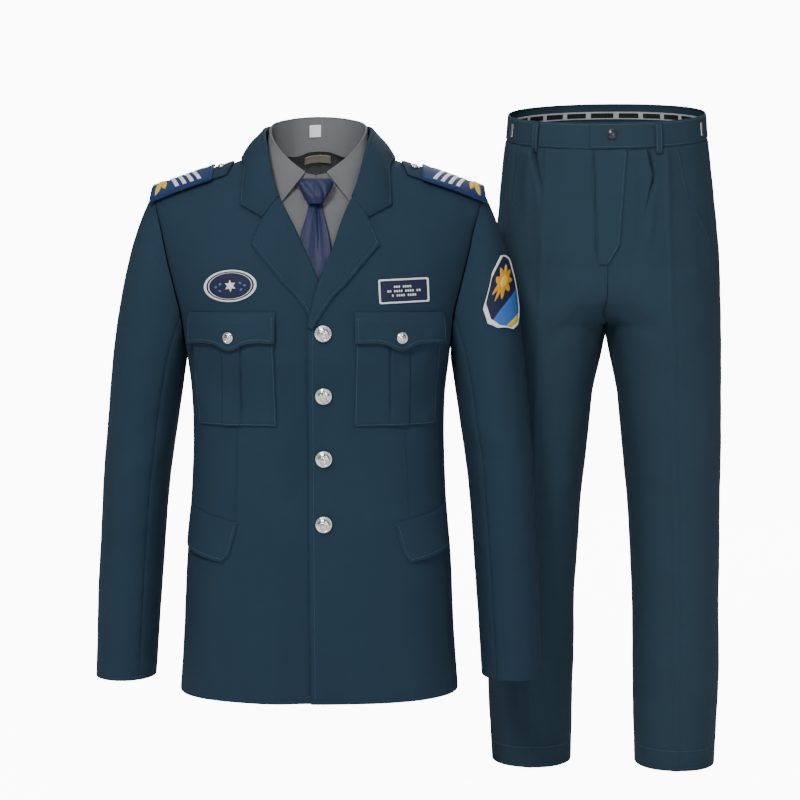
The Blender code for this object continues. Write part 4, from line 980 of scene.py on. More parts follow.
def gloss(name, colour, roughness):
    made, tree, shader = new_material(name)
    put(shader, {"Roughness": roughness})
    where = add_node(tree, "ShaderNodeTexCoord")
    cloud = add_node(tree, "ShaderNodeTexNoise", Scale=260.0, Detail=3.0)
    tree.links.new(where.outputs["Object"], cloud.inputs["Vector"])
    tint = add_node(tree, "ShaderNodeMix", data_type="RGBA")
    put(tint, {6: (*colour, 1.0), 7: (*[min(1.0, c * 1.8 + 0.01) for c in colour], 1.0)})
    tree.links.new(cloud.outputs["Fac"], tint.inputs[0])
    tree.links.new(tint.outputs[2], shader.inputs["Base Color"])
    return made


TEAL = cloth("teal_wool", (0.0070, 0.0212, 0.0385), (0.0162, 0.0400, 0.0660), (38.0, 420.0), 0.88, 0.03)
TROUSER = cloth("trouser_cloth", (0.0108, 0.0275, 0.0440), (0.0216, 0.0470, 0.0700), (38.0, 420.0), 0.88, 0.03)
GREY = cloth("grey_poplin", (0.1040, 0.1080, 0.1120), (0.1660, 0.1710, 0.1770), (0.0, 700.0), 0.80, 0.02)
NAVY_SILK = cloth("navy_silk", (0.0060, 0.0100, 0.0420), (0.0160, 0.0240, 0.0820), (50.0, 260.0), 0.40, 0.06)
BOARD_BLUE = cloth("board_felt", (0.0100, 0.0260, 0.0850), (0.0200, 0.0480, 0.1400), (0.0, 500.0), 0.70, 0.05)
EDGE_BLUE = cloth("board_edge", (0.0060, 0.0160, 0.0700), (0.0130, 0.0330, 0.1300), (0.0, 500.0), 0.55, 0.05)
NAVY = cloth("badge_navy", (0.0060, 0.0090, 0.0300), (0.0140, 0.0200, 0.0600), (90.0, 600.0), 0.60, 0.20)
WHITE_THREAD = cloth("white_thread", (0.6200, 0.6300, 0.6500), (0.9000, 0.9000, 0.9000), (75.0, 900.0), 0.50, 0.10)
GOLD_THREAD = cloth("gold_thread", (0.5200, 0.3300, 0.0300), (0.8200, 0.6000, 0.0700), (80.0, 900.0), 0.45, 0.05)
AMBER_THREAD = cloth("amber_thread", (0.4500, 0.2000, 0.0100), (0.7500, 0.3600, 0.0200), (60.0, 900.0), 0.45, 0.10)
SKY_THREAD = cloth("sky_thread", (0.0200, 0.0850, 0.3000), (0.0500, 0.1700, 0.4800), (80.0, 900.0), 0.45, 0.05)
CREAM = cloth("label_satin", (0.4200, 0.3900, 0.3000), (0.5800, 0.5400, 0.4300), (0.0, 900.0), 0.45, 0.20)
WHITE_LABEL = cloth("label_white", (0.7600, 0.7600, 0.7500), (0.9200, 0.9200, 0.9000), (0.0, 900.0), 0.50, 0.20)
TAPE = cloth("waist_tape", (0.3000, 0.3150, 0.3300), (0.5200, 0.5300, 0.5400), (0.0, 700.0), 0.70, 0.10)
BLACK = cloth("black_thread", (0.0030, 0.0030, 0.0040), (0.0090, 0.0090, 0.0110), (60.0, 900.0), 0.60, 0.10)
TEAL_THREAD = cloth("teal_thread", (0.0460, 0.0900, 0.1250), (0.0760, 0.1350, 0.1800), (60.0, 900.0), 0.50, 0.05)
SILVER = metal("button_silver", (0.8400, 0.8300, 0.8100), 0.13)
DARK = gloss("dark_horn", (0.0120, 0.0140, 0.0200), 0.25)


# Making pieces

# How far from an edge its stitches run
EDGE_STITCH = 0.0050
NARROW_STITCH = 0.0022


def piece(name, points, faces, look, replaced=(), uv=None, sharp=40.0):
    """One mesh of the object, on its body. Its faces are turned out if they weren't."""
    points = np.asarray(points, float)
    quads = np.array([[f[0], f[1], f[2]] for f in faces] + [[f[0], f[2], f[3]] for f in faces if len(f) == 4])
    if np.linalg.det(points[quads] - points.mean(axis=0)).sum() < 0:
        faces = [face[::-1] for face in faces]
    mesh = bpy.data.meshes.new(name)
    mesh.from_pydata(points.tolist(), [], [list(map(int, face)) for face in faces])
    if uv is not None:
        layer = mesh.uv_layers.new(name="weave")
        corners = np.zeros(len(mesh.loops), np.int32)
        mesh.loops.foreach_get("vertex_index", corners)
        layer.data.foreach_set("uv", np.asarray(uv, np.float32)[corners].ravel())
    mesh.materials.append(look)
    mesh.shade_smooth()
    mesh.set_sharp_from_angle(angle=math.radians(sharp))
    made = bpy.data.objects.new(name, mesh)
    bpy.context.scene.collection.objects.link(made)
    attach(made, "root")
    if replaced:
        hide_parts(*replaced)
    return made


def lengths(points):
    """Running length along each row and each column of a grid."""
    across = np.zeros(points.shape[:2])
    down = np.zeros(points.shape[:2])
    across[:, 1:] = np.cumsum(np.linalg.norm(np.diff(points, axis=1), axis=-1), axis=1)
    down[1:] = np.cumsum(np.linalg.norm(np.diff(points, axis=0), axis=-1), axis=0)
    return across, down


def from_edges(points):
    """How far each point of a grid is from each edge of it."""
    across, down = lengths(points)
    return {"first": across, "last": across[:, -1:] - across, "bottom": down, "top": down[-1:] - down}


def shell(name, outer, normals, wall, look, slot, replaced, held="stretched", rests_on=(), round_off=0.4):
    """A cloth wall with rounded edges."""
    rows, columns = outer.shape[:2]
    count = rows * columns
    inner = outer - normals * wall
    index = np.arange(count).reshape(rows, columns)
    a, b, c, d = index[:-1, :-1], index[:-1, 1:], index[1:, 1:], index[1:, :-1]
    top = np.stack([a, b, c, d], axis=-1).reshape(-1, 4)
    rim = [np.stack([index[0, 1:], index[0, :-1]], axis=-1), np.stack([index[-1, :-1], index[-1, 1:]], axis=-1)]
    rim += [np.stack([index[:-1, 0], index[1:, 0]], axis=-1), np.stack([index[1:, -1], index[:-1, -1]], axis=-1)]
    rim = np.concatenate(rim)
    sides = np.stack([rim[:, 0], rim[:, 1], rim[:, 1] + count, rim[:, 0] + count], axis=-1)
    faces = np.concatenate([top, top[:, ::-1] + count, sides]).tolist()
    across, down = lengths(outer)
    uv = np.stack([across, down], axis=-1).reshape(-1, 2)
    points = np.concatenate([outer.reshape(-1, 3), inner.reshape(-1, 3)])
    made = piece(name, points, faces, look, replaced, np.concatenate([uv, uv]), 60.0)
    bevel = made.modifiers.new("edge", "BEVEL")
    bevel.width = wall * round_off
    bevel.segments = 2
    bevel.limit_method = "ANGLE"
    bevel.angle_limit = math.radians(65)
    return made


def centred(name, middle, normals, wall, look, slot, replaced, **options):
    return shell(name, middle + normals * wall / 2, normals, wall, look, slot, replaced, **options)


def shares(count, margin=0.012):
    """Places from 0 to 1 with close ones at both ends, for the roll of the seams."""
    near = np.array([0.0, 0.2, 0.5]) * margin
    return np.concatenate([near, np.linspace(margin, 1 - margin, count), 1 - near[::-1]])


def channel(points, edges, inset, depth=0.0005, reach=0.0010):
    """The dip that a row of stitches presses into the cloth beside the edges named, and the soft roll outside it."""
    away = from_edges(points)
    near = np.min([away[edge] for edge in edges.split()], axis=0)
    dip = -depth * np.exp(-(((near - inset) / reach) ** 2))
    return (dip + depth * 0.7 * np.exp(-(((near - inset / 2) / reach) ** 2)))[..., None]


def seam_roll(points, edges, depth=0.0009, reach=0.0028):
    """How far the cloth turns in towards the seams at the edges named."""
    away = from_edges(points)
    lift = np.zeros(points.shape[:2])
    for edge in edges.split():
        lift = np.minimum(lift, -depth * np.exp(-((away[edge] / reach) ** 2)))
    return lift[..., None]


def wool(name, outer, normals, node, held="stretched", wall=WOOL):
    """A shell of the jacket's wool, in place of one solid."""
    return shell(name, outer, normals, wall, TEAL, "uniform_wool", [node], held)


# The jacket


def jacket_body():
    for side, word in SIDES:
        points, normals = on_body(side, *front_grid(side, shares(FRONT_COLUMNS)))
        points = trimmed(points, last=HALF, top=HALF)
        points = points + normals * seam_roll(points, "last top")
        wool("front_" + word, points, normals, "jacket_front_" + word)
        stitched(edge_path(points, normals, "first", 0.0060), TEAL_THREAD, "front_" + word)
        points, normals = on_body(side, *side_grid())
        points = trimmed(points, first=HALF, last=HALF)
        points = points + normals * seam_roll(points, "first last top")
        wool("side_" + word, points, normals, "jacket_side_" + word)
        points, normals = on_body(side, *back_grid(shares(BACK_COLUMNS)))
        points = trimmed(points, first=HALF, last=HALF, top=HALF)
        points = points + normals * seam_roll(points, "first last top")
        wool("back_" + word, points, normals, "jacket_back_" + word)


def sleeve(side, word):
    share = np.arange(ARMHOLE_POINTS) / ARMHOLE_POINTS
    arm = np.linspace(CAP_END, CUFF, ARM_ROWS)[1:]
    points, outwards = sleeve_surface(side, share, np.linspace(0, 1, CAP_ROWS), arm)
    normals = grid_normals(points, wrap=True) * side
    inwards = np.maximum((normals[0] * outwards).sum(axis=-1), 0)[:, None]
    normals[0] = unit(normals[0] - inwards * outwards)
    _, down = lengths(points)
    fade = np.clip(down / 0.03, 0, 1)
    lift = sleeve_drape(side, share + 0 * points[..., 0], points[..., 2]) * fade
    points = points + normals * lift[..., None]
    fore = round(FORE_SEAM * ARMHOLE_POINTS)
    hind = round(HIND_SEAM * ARMHOLE_POINTS)
    under = list(range(fore, hind + 1))
    upper = [j % ARMHOLE_POINTS for j in range(hind, fore + ARMHOLE_POINTS + 1)]
    for name, chosen in (("top", upper), ("under", under)):
        sheet = trimmed(points[:, chosen], first=HALF, last=HALF)
        shut = np.clip((sheet[..., 2:] - CUFF - 0.004) / 0.020, 0, 1)
        sheet = sheet + normals[:, chosen] * seam_roll(sheet, "first last", 0.0008) * shut
        wool(f"arm_{name}_{word}", sheet, normals[:, chosen], f"sleeve_{name}_{word}")


def lapel(side, word):
    middle = trimmed(lapel_grid(side, 6), first=REST, top=HALF)
    normals = grid_normals(middle) * side
    outer = middle + normals * WOOL / 2
    edge = seam_roll(outer, "last", 0.0006, 0.0010) + channel(outer, "last", EDGE_STITCH)
    stitched(edge_path(outer, normals, "last", EDGE_STITCH), TEAL_THREAD, "revers_" + word)
    wool("revers_" + word, outer + normals * edge, normals, "lapel_" + word, "folded")


def jacket_collar():
    middle = trimmed(collar_grid(COLLAR, 0.0, FOLD_RADIUS, WOOL), bottom=REST, top=REST)
    normals = grid_normals(middle)
    outer = middle + normals * WOOL / 2
    stitched(edge_path(outer, normals, "last", EDGE_STITCH), TEAL_THREAD, "collar_edge")
    sewn_edges("collar", outer[:, 40:], normals[:, 40:], "bottom top", EDGE_STITCH)
    middle = middle + normals * (channel(outer, "last", EDGE_STITCH) + seam_roll(outer, "last", 0.0006, 0.0010))
    centred("collar", middle, normals, WOOL, TEAL, "uniform_wool", ["jacket_collar"], held="folded")


def jacket_pocket(side, word):
    share = np.linspace(0, 1, 40)[:, None]
    inner = POCKET_INNER[1] + (POCKET_INNER[0] - POCKET_INNER[1]) * share
    outer = POCKET_OUTER[1] + (POCKET_OUTER[0] - POCKET_OUTER[1]) * share
    height = POCKET_BOTTOM + (POCKET_TOP - 0.012 - POCKET_BOTTOM) * share
    x = inner + (outer - inner) * shares(110, 0.02)
    edge = np.clip((PLEAT_HALF - np.abs(x - PLEAT_CENTRE)) / 0.0012, 0, 1)
    raised = edge * edge * (3 - 2 * edge) * PLEAT_RISE
    gap = np.abs(x - PLEAT_CENTRE) - PLEAT_HALF - 0.0012
    raised -= 0.0019 * np.exp(-((gap / 0.0010) ** 2)) * np.where(x < PLEAT_CENTRE, 1.0, 0.6) * np.clip(share * 6, 0, 1)
    points, normals = on_front(side, x, height + 0 * x, POCKET_LIFT + WOOL)
    roll = seam_roll(points, "first last bottom", 0.0010, 0.0016)
    points = points + normals * (raised[..., None] + roll)
    wool("pocket_" + word, points, normals, "breast_pocket_" + word, "stretched", FLAP_WALL)
    sewn_edges("pocket_" + word, points, normals, "first last bottom", NARROW_STITCH)


def jacket_flap(side, word):
    share = shares(60, 0.02)
    drop = smooth(FLAP_DROP, "drop", share)
    down = np.linspace(1, 0, 24)[:, None]
    x = FLAP_INNER + (FLAP_OUTER - FLAP_INNER) * share + 0 * down
    height = POCKET_TOP + 0.0015 - drop * down
    over_pleat = np.clip(1 - (np.abs(x - PLEAT_CENTRE) - PLEAT_HALF) / 0.02, 0, 1) * PLEAT_RISE
    hinge = POCKET_LIFT + (WOOL + REST * 3 + over_pleat) * np.clip(down * 3, 0, 1) + 0.0022 * down**3
    points, normals = on_front(side, x, height, hinge + WOOL)
    points = points + normals * channel(points, "first last bottom", EDGE_STITCH)
    roll = seam_roll(points, "first last bottom", 0.0008, 0.0016) + seam_roll(points, "top", 0.0012, 0.0030)
    points = points + normals * roll
    wool("flap_" + word, points, normals, "breast_flap_" + word, "hung", FLAP_WALL)
    sewn_edges("flap_" + word, points, normals, "first last bottom", EDGE_STITCH)


def hip_flap(side, word):
    share = np.linspace(1, 0, 24)
    read = {name: straight(HIP_FLAP, name, share) for name in HIP_FLAP}
    across = shares(50, 0.02)
    turn = read["inner_turn"][:, None] + (read["outer_turn"] - read["inner_turn"])[:, None] * across
    height = read["inner_height"][:, None] + (read["outer_height"] - read["inner_height"])[:, None] * across
    curl = 0.0036 * share[:, None] ** 3 * np.sin(math.pi * np.clip(across * 1.1, 0, 1)) ** 0.5
    points, normals = on_body(side, turn, height - UNDERARM, REST + WOOL + curl)
    points = points + normals * channel(points, "first last bottom", EDGE_STITCH)
    roll = seam_roll(points, "first last bottom", 0.0008, 0.0016) + seam_roll(points, "top", 0.0010, 0.0030)
    points = points + normals * roll
    wool("hip_" + word, points, normals, "hip_flap_" + word, "hung", FLAP_WALL)
    sewn_edges("hip_" + word, points, normals, "first last bottom", EDGE_STITCH)


def shoulder_piece(name, side, columns, wall, lift, look, slot, node):
    x = np.interp(np.linspace(0, 1, 60), np.linspace(0, 1, len(columns["x"])), columns["x"])
    front = straight(columns, "front", x)
    back = straight(columns, "back", x)
    across = front[:, None] + (back - front)[:, None] * shares(24, 0.04)
    points, normals = across_shoulder(side, x[:, None] + 0 * across, across, lift + wall)
    shell(name, points, normals, wall, look, slot, [node], "laid")


# Buttons and badges


def ring_faces(rows, count, meet=False, closed=True):
    """Quads between rings of count points. The last ring meets the first where meet says so."""
    faces = []
    for i in range(rows if meet else rows - 1):
        above = (i + 1) % rows
        for j in range(count if closed else count - 1):
            k = (j + 1) % count
            faces.append([i * count + j, i * count + k, above * count + k, above * count + j])
    return faces


def button(name, centre, normal, look, replaced, scale=1.0, relief=0.0006):
    """A domed button: a corded rim round a dome with a raised five-armed flower."""
    normal = np.asarray(normal, float)
    pole = [0.0, 0.0, 1.0] if abs(normal[2]) < 0.9 else [0.0, 1.0, 0.0]
    across = unit(np.cross(normal, pole))
    up = np.cross(across, normal)
    sides = 60
    swing = np.linspace(0, 2 * math.pi, sides, endpoint=False)
    profile = [(0.0, 0.0), (0.0090, 0.0), (0.0105, 0.0002), (0.0114, 0.0010), (0.0115, 0.0018), (0.0109, 0.0027)]
    profile += [(0.0101, 0.0026), (0.0096, 0.0030)]
    dome = np.linspace(0.0092, 0.0004, 30)
    profile += [(r, 0.0033 + 0.0024 * (1 - (r / 0.0095) ** 2)) for r in dome]
    rings = []
    for i, (radius, height) in enumerate(profile):
        height = np.full(sides, height)
        if i == 5:
            height += relief * 0.6 * np.cos(20 * swing)
        if i > 7:
            arm = np.cos(2.5 * (swing - math.pi / 2)) ** 2
            reach = 0.0074 * (0.45 + 0.55 * arm)
            height += relief * 1.6 * np.clip((reach - radius) / 0.0006, 0, 1)
            height -= relief * 1.3 * np.exp(-(((radius - 0.0081) / 0.0006) ** 2))
            height += relief * 0.9 * (radius < 0.0024) - relief * np.exp(-(((radius - 0.0027) / 0.0004) ** 2))
        rings.append(centre + scale * (
            np.outer(np.cos(swing), across) * radius + np.outer(np.sin(swing), up) * radius + height[:, None] * normal))
    points = np.concatenate(rings)
    faces = [[b, a, d, c] for a, b, c, d in ring_faces(len(rings), sides)]
    last = (len(rings) - 1) * sides
    faces.append([last, last + 1, last + 2])
    return piece(name, points, faces, look, replaced)


def pad(name, place, outline, rise, look, replaced=(), lift=0.0):
    """A raised patch of embroidery or cloth: its outline in local x and y, crowned by rise, put where place says."""
    outline = np.asarray(outline, float)
    centre = outline.mean(axis=0)
    count = len(outline)
    rings, heights = (1.0, 0.97, 0.90, 0.6, 0.25), (0.0, 0.55, 0.85, 1.0, 1.0)
    flat = np.concatenate([centre + (outline - centre) * ring for ring in rings] + [centre[None]])
    up = np.concatenate([np.full(count, h) for h in heights] + [[1.0]]) * rise
    points, _ = place(flat[:, 0], flat[:, 1], lift + up)
    base, _ = place(outline[:, 0], outline[:, 1], lift - 0.0004)
    points = np.concatenate([points, base])
    faces = ring_faces(len(rings), count)
    last, top, low = (len(rings) - 1) * count, len(rings) * count, len(rings) * count + 1
    for j in range(count):
        k = (j + 1) % count
        faces.append([last + j, last + k, top])
        faces.append([low + k, low + j, j][::-1])
        faces.append([low + k, j, k][::-1])
    uv = np.concatenate([flat, outline])
    return piece(name, points, faces, look, replaced, uv, 50.0)


def band(name, place, outline, inner, rise, look, lift=0.0):
    """A raised border: between an outline and the same one drawn in."""
    outline, inner = np.asarray(outline, float), np.asarray(inner, float)
    count = len(outline)
    layers = [(0.0, -0.0003), (0.02, 0.6), (0.2, 0.95), (0.5, 1.0), (0.8, 0.95), (0.98, 0.6), (1.0, -0.0003)]
    points = []
    for share, height in layers:
        flat = outline + (inner - outline) * share
        at, _ = place(flat[:, 0], flat[:, 1], lift + (height * rise if height > 0 else height))
        points.append(at)
    faces = ring_faces(len(layers), count, meet=True)
    uv = np.concatenate([outline + (inner - outline) * share for share, _ in layers])
    return piece(name, np.concatenate(points), faces, look, (), uv, 60.0)


# Sewing: length of a stitch, the gap after it and the thread's radius

STITCH = 0.0030
STITCH_GAP = 0.0007
THREAD = 0.00028


def edge_path(points, normals, edge, inset):
    """Points and normals along a line that runs beside an edge of a grid, inset from it."""
    if edge in ("bottom", "top"):
        points, normals = np.swapaxes(points, 0, 1), np.swapaxes(normals, 0, 1)
    if edge in ("last", "top"):
        points, normals = points[:, ::-1], normals[:, ::-1]
    away, _ = lengths(points)
    path, up = [], []
    for row in range(len(points)):
        path.append([np.interp(inset, away[row], points[row, :, k]) for k in range(3)])
        up.append([np.interp(inset, away[row], normals[row, :, k]) for k in range(3)])
    path, up = np.array(path), unit(np.array(up))
    run = np.concatenate([[0], np.cumsum(np.linalg.norm(np.diff(path, axis=0), axis=1))])
    keep = (run > inset * 0.9) & (run < run[-1] - inset * 0.9)
    return path[keep], up[keep]


def stitched(line, look, name):
    """A row of stitches along a line: each a short thread that dips into the cloth at both ends."""
    path, up = line
    run = np.concatenate([[0], np.cumsum(np.linalg.norm(np.diff(path, axis=0), axis=1))])
    if len(path) < 2 or run[-1] < 2 * STITCH:
        return None
    starts = np.arange(STITCH_GAP, run[-1] - STITCH, STITCH + STITCH_GAP)

    def at(where, values):
        return np.stack([np.interp(where, run, values[:, k]) for k in range(3)], axis=-1)

    points, faces = [], []
    for share, radius, height in ((0.0, 0.35, -0.4), (0.25, 1.0, 0.5), (0.75, 1.0, 0.5), (1.0, 0.35, -0.4)):
        centre = at(starts + STITCH * share, path)
        normal = unit(at(starts + STITCH * share, up))
        ahead = unit(at(starts + STITCH, path) - at(starts, path))
        side = np.cross(ahead, normal)
        for c, s in ((1, 0), (0, 1), (-1, 0), (0, -1)):
            points.append(centre + THREAD * (height * normal + radius * (c * side + s * normal)))
    points = np.stack(points, axis=1)
    for i in range(len(starts)):
        base = 16 * i
        for ring in range(3):
            for j in range(4):
                k = (j + 1) % 4
                low, high = base + 4 * ring, base + 4 * ring + 4
                faces.append([low + j, low + k, high + k, high + j])
        faces += [[base + 3, base + 2, base + 1, base], [base + 12, base + 13, base + 14, base + 15]]
    return piece("stitch_" + name, points.reshape(-1, 3), faces, look, (), None, 180.0)


def sewn_edges(name, points, normals, edges, inset, look=TEAL_THREAD, slot="uniform_wool"):
    for edge in edges.split():
        stitched(edge_path(points, normals, edge, inset), look, f"{name}_{edge}")


def sleeve_patch():
    """The patch on its sleeve: a bordered shield in two fields, with a plain sun and a bar below."""
    rows = np.linspace(PATCH["share"][0], PATCH["share"][-1], 30)
    left = straight(PATCH, "left", rows)
    right = straight(PATCH, "right", rows)
    cells = []
    for i, cap in enumerate(rows):
        share = np.linspace(left[i], right[i], 24)
        line, _ = sleeve_surface(1, share, [cap - 0.01, cap, cap + 0.01], [])
        around, _ = sleeve_surface(1, share + 0.005, [cap], [])
        cells.append((line[1], unit(np.cross(around[0] - line[1], line[2] - line[0]))))
    points = np.array([cell[0] for cell in cells])
    normals = np.array([cell[1] for cell in cells])
    normals = normals * np.sign(normals[15, 12, 0])
    share = left[:, None] + (right - left)[:, None] * np.linspace(0, 1, 24)
    points = points + normals * sleeve_drape(1, share, points[..., 2])[..., None]
    base = points + normals * (REST * 2 + BADGE_WALL * 0.6)
    shell("patch", base, normals, BADGE_WALL * 0.6, NAVY, "badge_cloth", ["sleeve_patch"], "laid", round_off=0.3)

    def place(x, y, lift):
        """x runs from the patch's left edge to its right, and y up it, both from 0 to 1."""
        row = np.clip((1 - np.asarray(y)) * 29, 0, 29)
        column = np.clip(np.asarray(x) * 23, 0, 23)
        i, j = np.floor(row).astype(int).clip(0, 28), np.floor(column).astype(int).clip(0, 22)
        s, t = (row - i)[:, None], (column - j)[:, None]

        def read(grid):
            return ((1 - s) * ((1 - t) * grid[i, j] + t * grid[i, j + 1])
                    + s * ((1 - t) * grid[i + 1, j] + t * grid[i + 1, j + 1]))

        up = unit(read(normals))
        return read(base) + up * np.broadcast_to(lift, row.shape)[:, None], up

    edge = [(x, 1.0) for x in np.linspace(0, 1, 20)] + [(1.0, y) for y in np.linspace(0.95, 0.05, 24)]
    edge += [(x, 0.0) for x in np.linspace(1, 0, 20)] + [(0.0, y) for y in np.linspace(0.05, 0.95, 24)]
    edge = np.array(edge)
    inner = 0.5 + (edge - 0.5) * [0.86, 0.91]
    band("patch_border", place, edge, inner, 0.0012, WHITE_THREAD)
    field = [(x, 0.42) for x in np.linspace(0.93, 0.07, 16)] + [(0.07, y) for y in np.linspace(0.38, 0.10, 8)]
    field += [(x, 0.055) for x in np.linspace(0.09, 0.91, 16)] + [(0.93, y) for y in np.linspace(0.10, 0.38, 8)]
    pad("patch_field", place, field, 0.0007, SKY_THREAD)
    foot = np.array([(x, 0.13) for x in np.linspace(0.92, 0.08, 16)] + [(x, 0.05) for x in np.linspace(0.09, 0.91, 16)])
    pad("patch_foot", place, foot, 0.0012, GOLD_THREAD)
    spin = np.linspace(0, 2 * math.pi, 64, endpoint=False)
    reach = 1 + 0.28 * np.cos(9 * spin)
    sun = np.stack([0.5 + 0.24 * reach * np.cos(spin), 0.70 + 0.155 * reach * np.sin(spin)], axis=-1)
    pad("patch_sun", place, sun, 0.0014, AMBER_THREAD)
    core = np.stack([0.5 + 0.10 * np.cos(spin), 0.70 + 0.065 * np.sin(spin)], axis=-1)
    pad("patch_sun_core", place, core, 0.0008, GOLD_THREAD, lift=0.0014)


def front_place(side, centre, tilt, base):
    angle = math.radians(tilt)

    def place(x, y, lift):
        x, y = np.asarray(x), np.asarray(y)
        across = centre[0] + x * math.cos(angle) - y * math.sin(angle)
        height = centre[1] + x * math.sin(angle) + y * math.cos(angle)
        return on_front(side, across, height, base + np.broadcast_to(lift, x.shape))

    return place


def badges():
    spin = np.linspace(0, 2 * math.pi, 72, endpoint=False)
    place = front_place(-1, BADGE_CENTRE, -BADGE_TILT, REST)
    w, h = BADGE_HALF
    oval = np.stack([np.cos(spin) * w, np.sin(spin) * h], axis=-1)
    pad("badge", place, oval * 0.995, BADGE_WALL * 0.8, NAVY, replaced=["chest_badge"])
    top = BADGE_WALL * 0.7
    band("badge_border", place, oval, oval * 0.90, 0.0010, WHITE_THREAD, lift=top * 0.6)
    band("badge_line", place, oval * 0.83, oval * 0.80, 0.0007, WHITE_THREAD, lift=top)
    star = np.array([[math.sin(a) * r, math.cos(a) * r] for a, r in
                     ((k * math.pi / 6, 0.0082 if k % 2 == 0 else 0.0040) for k in range(12))])
    star = np.concatenate([star + (np.roll(star, -1, axis=0) - star) * t for t in (0.0, 0.5)]).reshape(2, 12, 2)
    star = np.swapaxes(star, 0, 1).reshape(-1, 2)
    pad("badge_star", place, star, 0.0012, WHITE_THREAD, lift=top)
    for k in (-1, 1):
        for j, (x, y, long, lean) in enumerate(BADGE_LEAVES):
            leaf = leaf_outline(long, 0.0016)
            leaf = turned_outline(leaf, (k * x, y), -k * lean)
            pad(f"badge_leaf_{'a' if k < 0 else 'b'}{j}", place, leaf, 0.0009, SKY_THREAD, lift=top)
    place = front_place(1, TAG_CENTRE, TAG_TILT * -1.0, REST)
    w, h = TAG_HALF
    box = rounded_box(w, h, 0.0022)
    pad("tag", place, box * 0.995, BADGE_WALL * 0.8, NAVY, replaced=["name_tag"])
    inner = box * [1 - 0.0024 / w, 1 - 0.0024 / h]
    band("tag_border", place, box, inner, 0.0010, WHITE_THREAD, lift=top * 0.6)
    for k, (x, y, half) in enumerate(((0.0, 0.0058, 0.0130), (0.0, 0.0, 0.0210), (0.0, -0.0058, 0.0165))):
        count = int(half / 0.0030)
        for j in range(-count, count + 1):
            if (j + count + k) % 5 == 3:
                continue
            mark = rounded_box(0.0010, 0.0015, 0.0004, 2) + [x + j * 0.0030, y]
            pad(f"tag_mark_{k}_{j + count}", place, mark, 0.0007, WHITE_THREAD, lift=top)


def rounded_box(w, h, radius, steps=4):
    corners = []
    for k, (x, y) in enumerate(((1, 1), (-1, 1), (-1, -1), (1, -1))):
        x, y = x * (w - radius), y * (h - radius)
        swing = np.radians(90 * k + np.linspace(0, 90, steps))
        corners.append(np.stack([x + radius * np.cos(swing), y + radius * np.sin(swing)], axis=-1))
    outline = np.concatenate(corners)
    ahead = np.roll(outline, -1, axis=0)
    filled = []
    for a, b in zip(outline, ahead):
        count = max(1, int(np.linalg.norm(b - a) / 0.004))
        filled += [a + (b - a) * t / count for t in range(count)]
    return np.array(filled)


def leaf_outline(long, half):
    t = np.linspace(0, 1, 8)
    width = half * np.sin(math.pi * t) ** 0.8
    there = np.stack([-long / 2 + long * t, width], axis=-1)
    back = np.stack([-long / 2 + long * t[::-1][1:-1], -width[::-1][1:-1]], axis=-1)
    return np.concatenate([there, back])


# Shoulders


def shoulder(side, word):
    shoulder_piece("strap_" + word, side, STRAP, WOOL, STRAP_LIFT, TEAL, "uniform_wool", "shoulder_strap_" + word)
    lift = STRAP_LIFT + WOOL + REST * 3
    shoulder_piece("board_" + word, side, BOARD, BOARD_WALL, lift, BOARD_BLUE, "board_cloth", "shoulder_board_" + word)

    def place(x, y, height):
        """x runs out along the shoulder in metres from the board's inner end, y across it from -1 to 1."""
        x = BOARD["x"][0] + np.asarray(x)
        front, back = straight(BOARD, "front", x), straight(BOARD, "back", x)
        across = (front + back) / 2 + (front - back) / 2 * np.asarray(y)
        return across_shoulder(side, x, across, lift + BOARD_WALL + np.broadcast_to(height, x.shape))

    long = BOARD["x"][-1] - BOARD["x"][0]
    edge = [(x, -0.97) for x in np.linspace(0.0015, long - 0.0015, 30)]
    edge += [(long - 0.0012, y) for y in np.linspace(-0.9, 0.9, 14)]
    edge += [(x, 0.97) for x in np.linspace(long - 0.0015, 0.0015, 30)]
    edge += [(0.0012, y) for y in np.linspace(0.9, -0.9, 14)]
    edge = np.array(edge)
    inner = edge.copy()
    inner[:, 1] = np.clip(inner[:, 1], -0.84, 0.84)
    inner[:, 0] = np.clip(inner[:, 0], 0.0036, long - 0.0036)
    band(f"board_edge_{word}", place, edge, inner, 0.0008, EDGE_BLUE)
    for k in range(4):
        start = 0.0140 + 0.0105 * k
        y = np.linspace(-0.80, 0.80, 23)
        x = start + 0.0120 * (1 - np.abs(y) / 0.80)
        stripe(f"board_stripe_{word}_{k}", place, x, y, 0.0056, 0.0011, WHITE_THREAD)
    centre = 0.0740
    spin = np.linspace(0, 2 * math.pi, 20, endpoint=False)
    for k, (dx, dy, turn) in enumerate(BOARD_LEAVES):
        leaf = turned_outline(leaf_outline(0.0135, 0.0036), (0, 0), turn)
        leaf = np.stack([centre + dx + leaf[:, 0], dy + leaf[:, 1] / 0.0165], axis=-1)
        pad(f"board_leaf_{word}_{k}", place, leaf, 0.0012, GOLD_THREAD)
    core = np.stack([centre + 0.0026 * np.cos(spin), 0.155 * np.sin(spin)], axis=-1)
    pad(f"board_core_{word}", place, core, 0.0018, GOLD_THREAD)
    centre, normal = across_shoulder(side, *BOARD_BUTTON_PLACE, STRAP_LIFT + WOOL + REST)
    button("strap_stud_" + word, centre, normal, SILVER, ["strap_button_" + word], BOARD_BUTTON_SCALE)


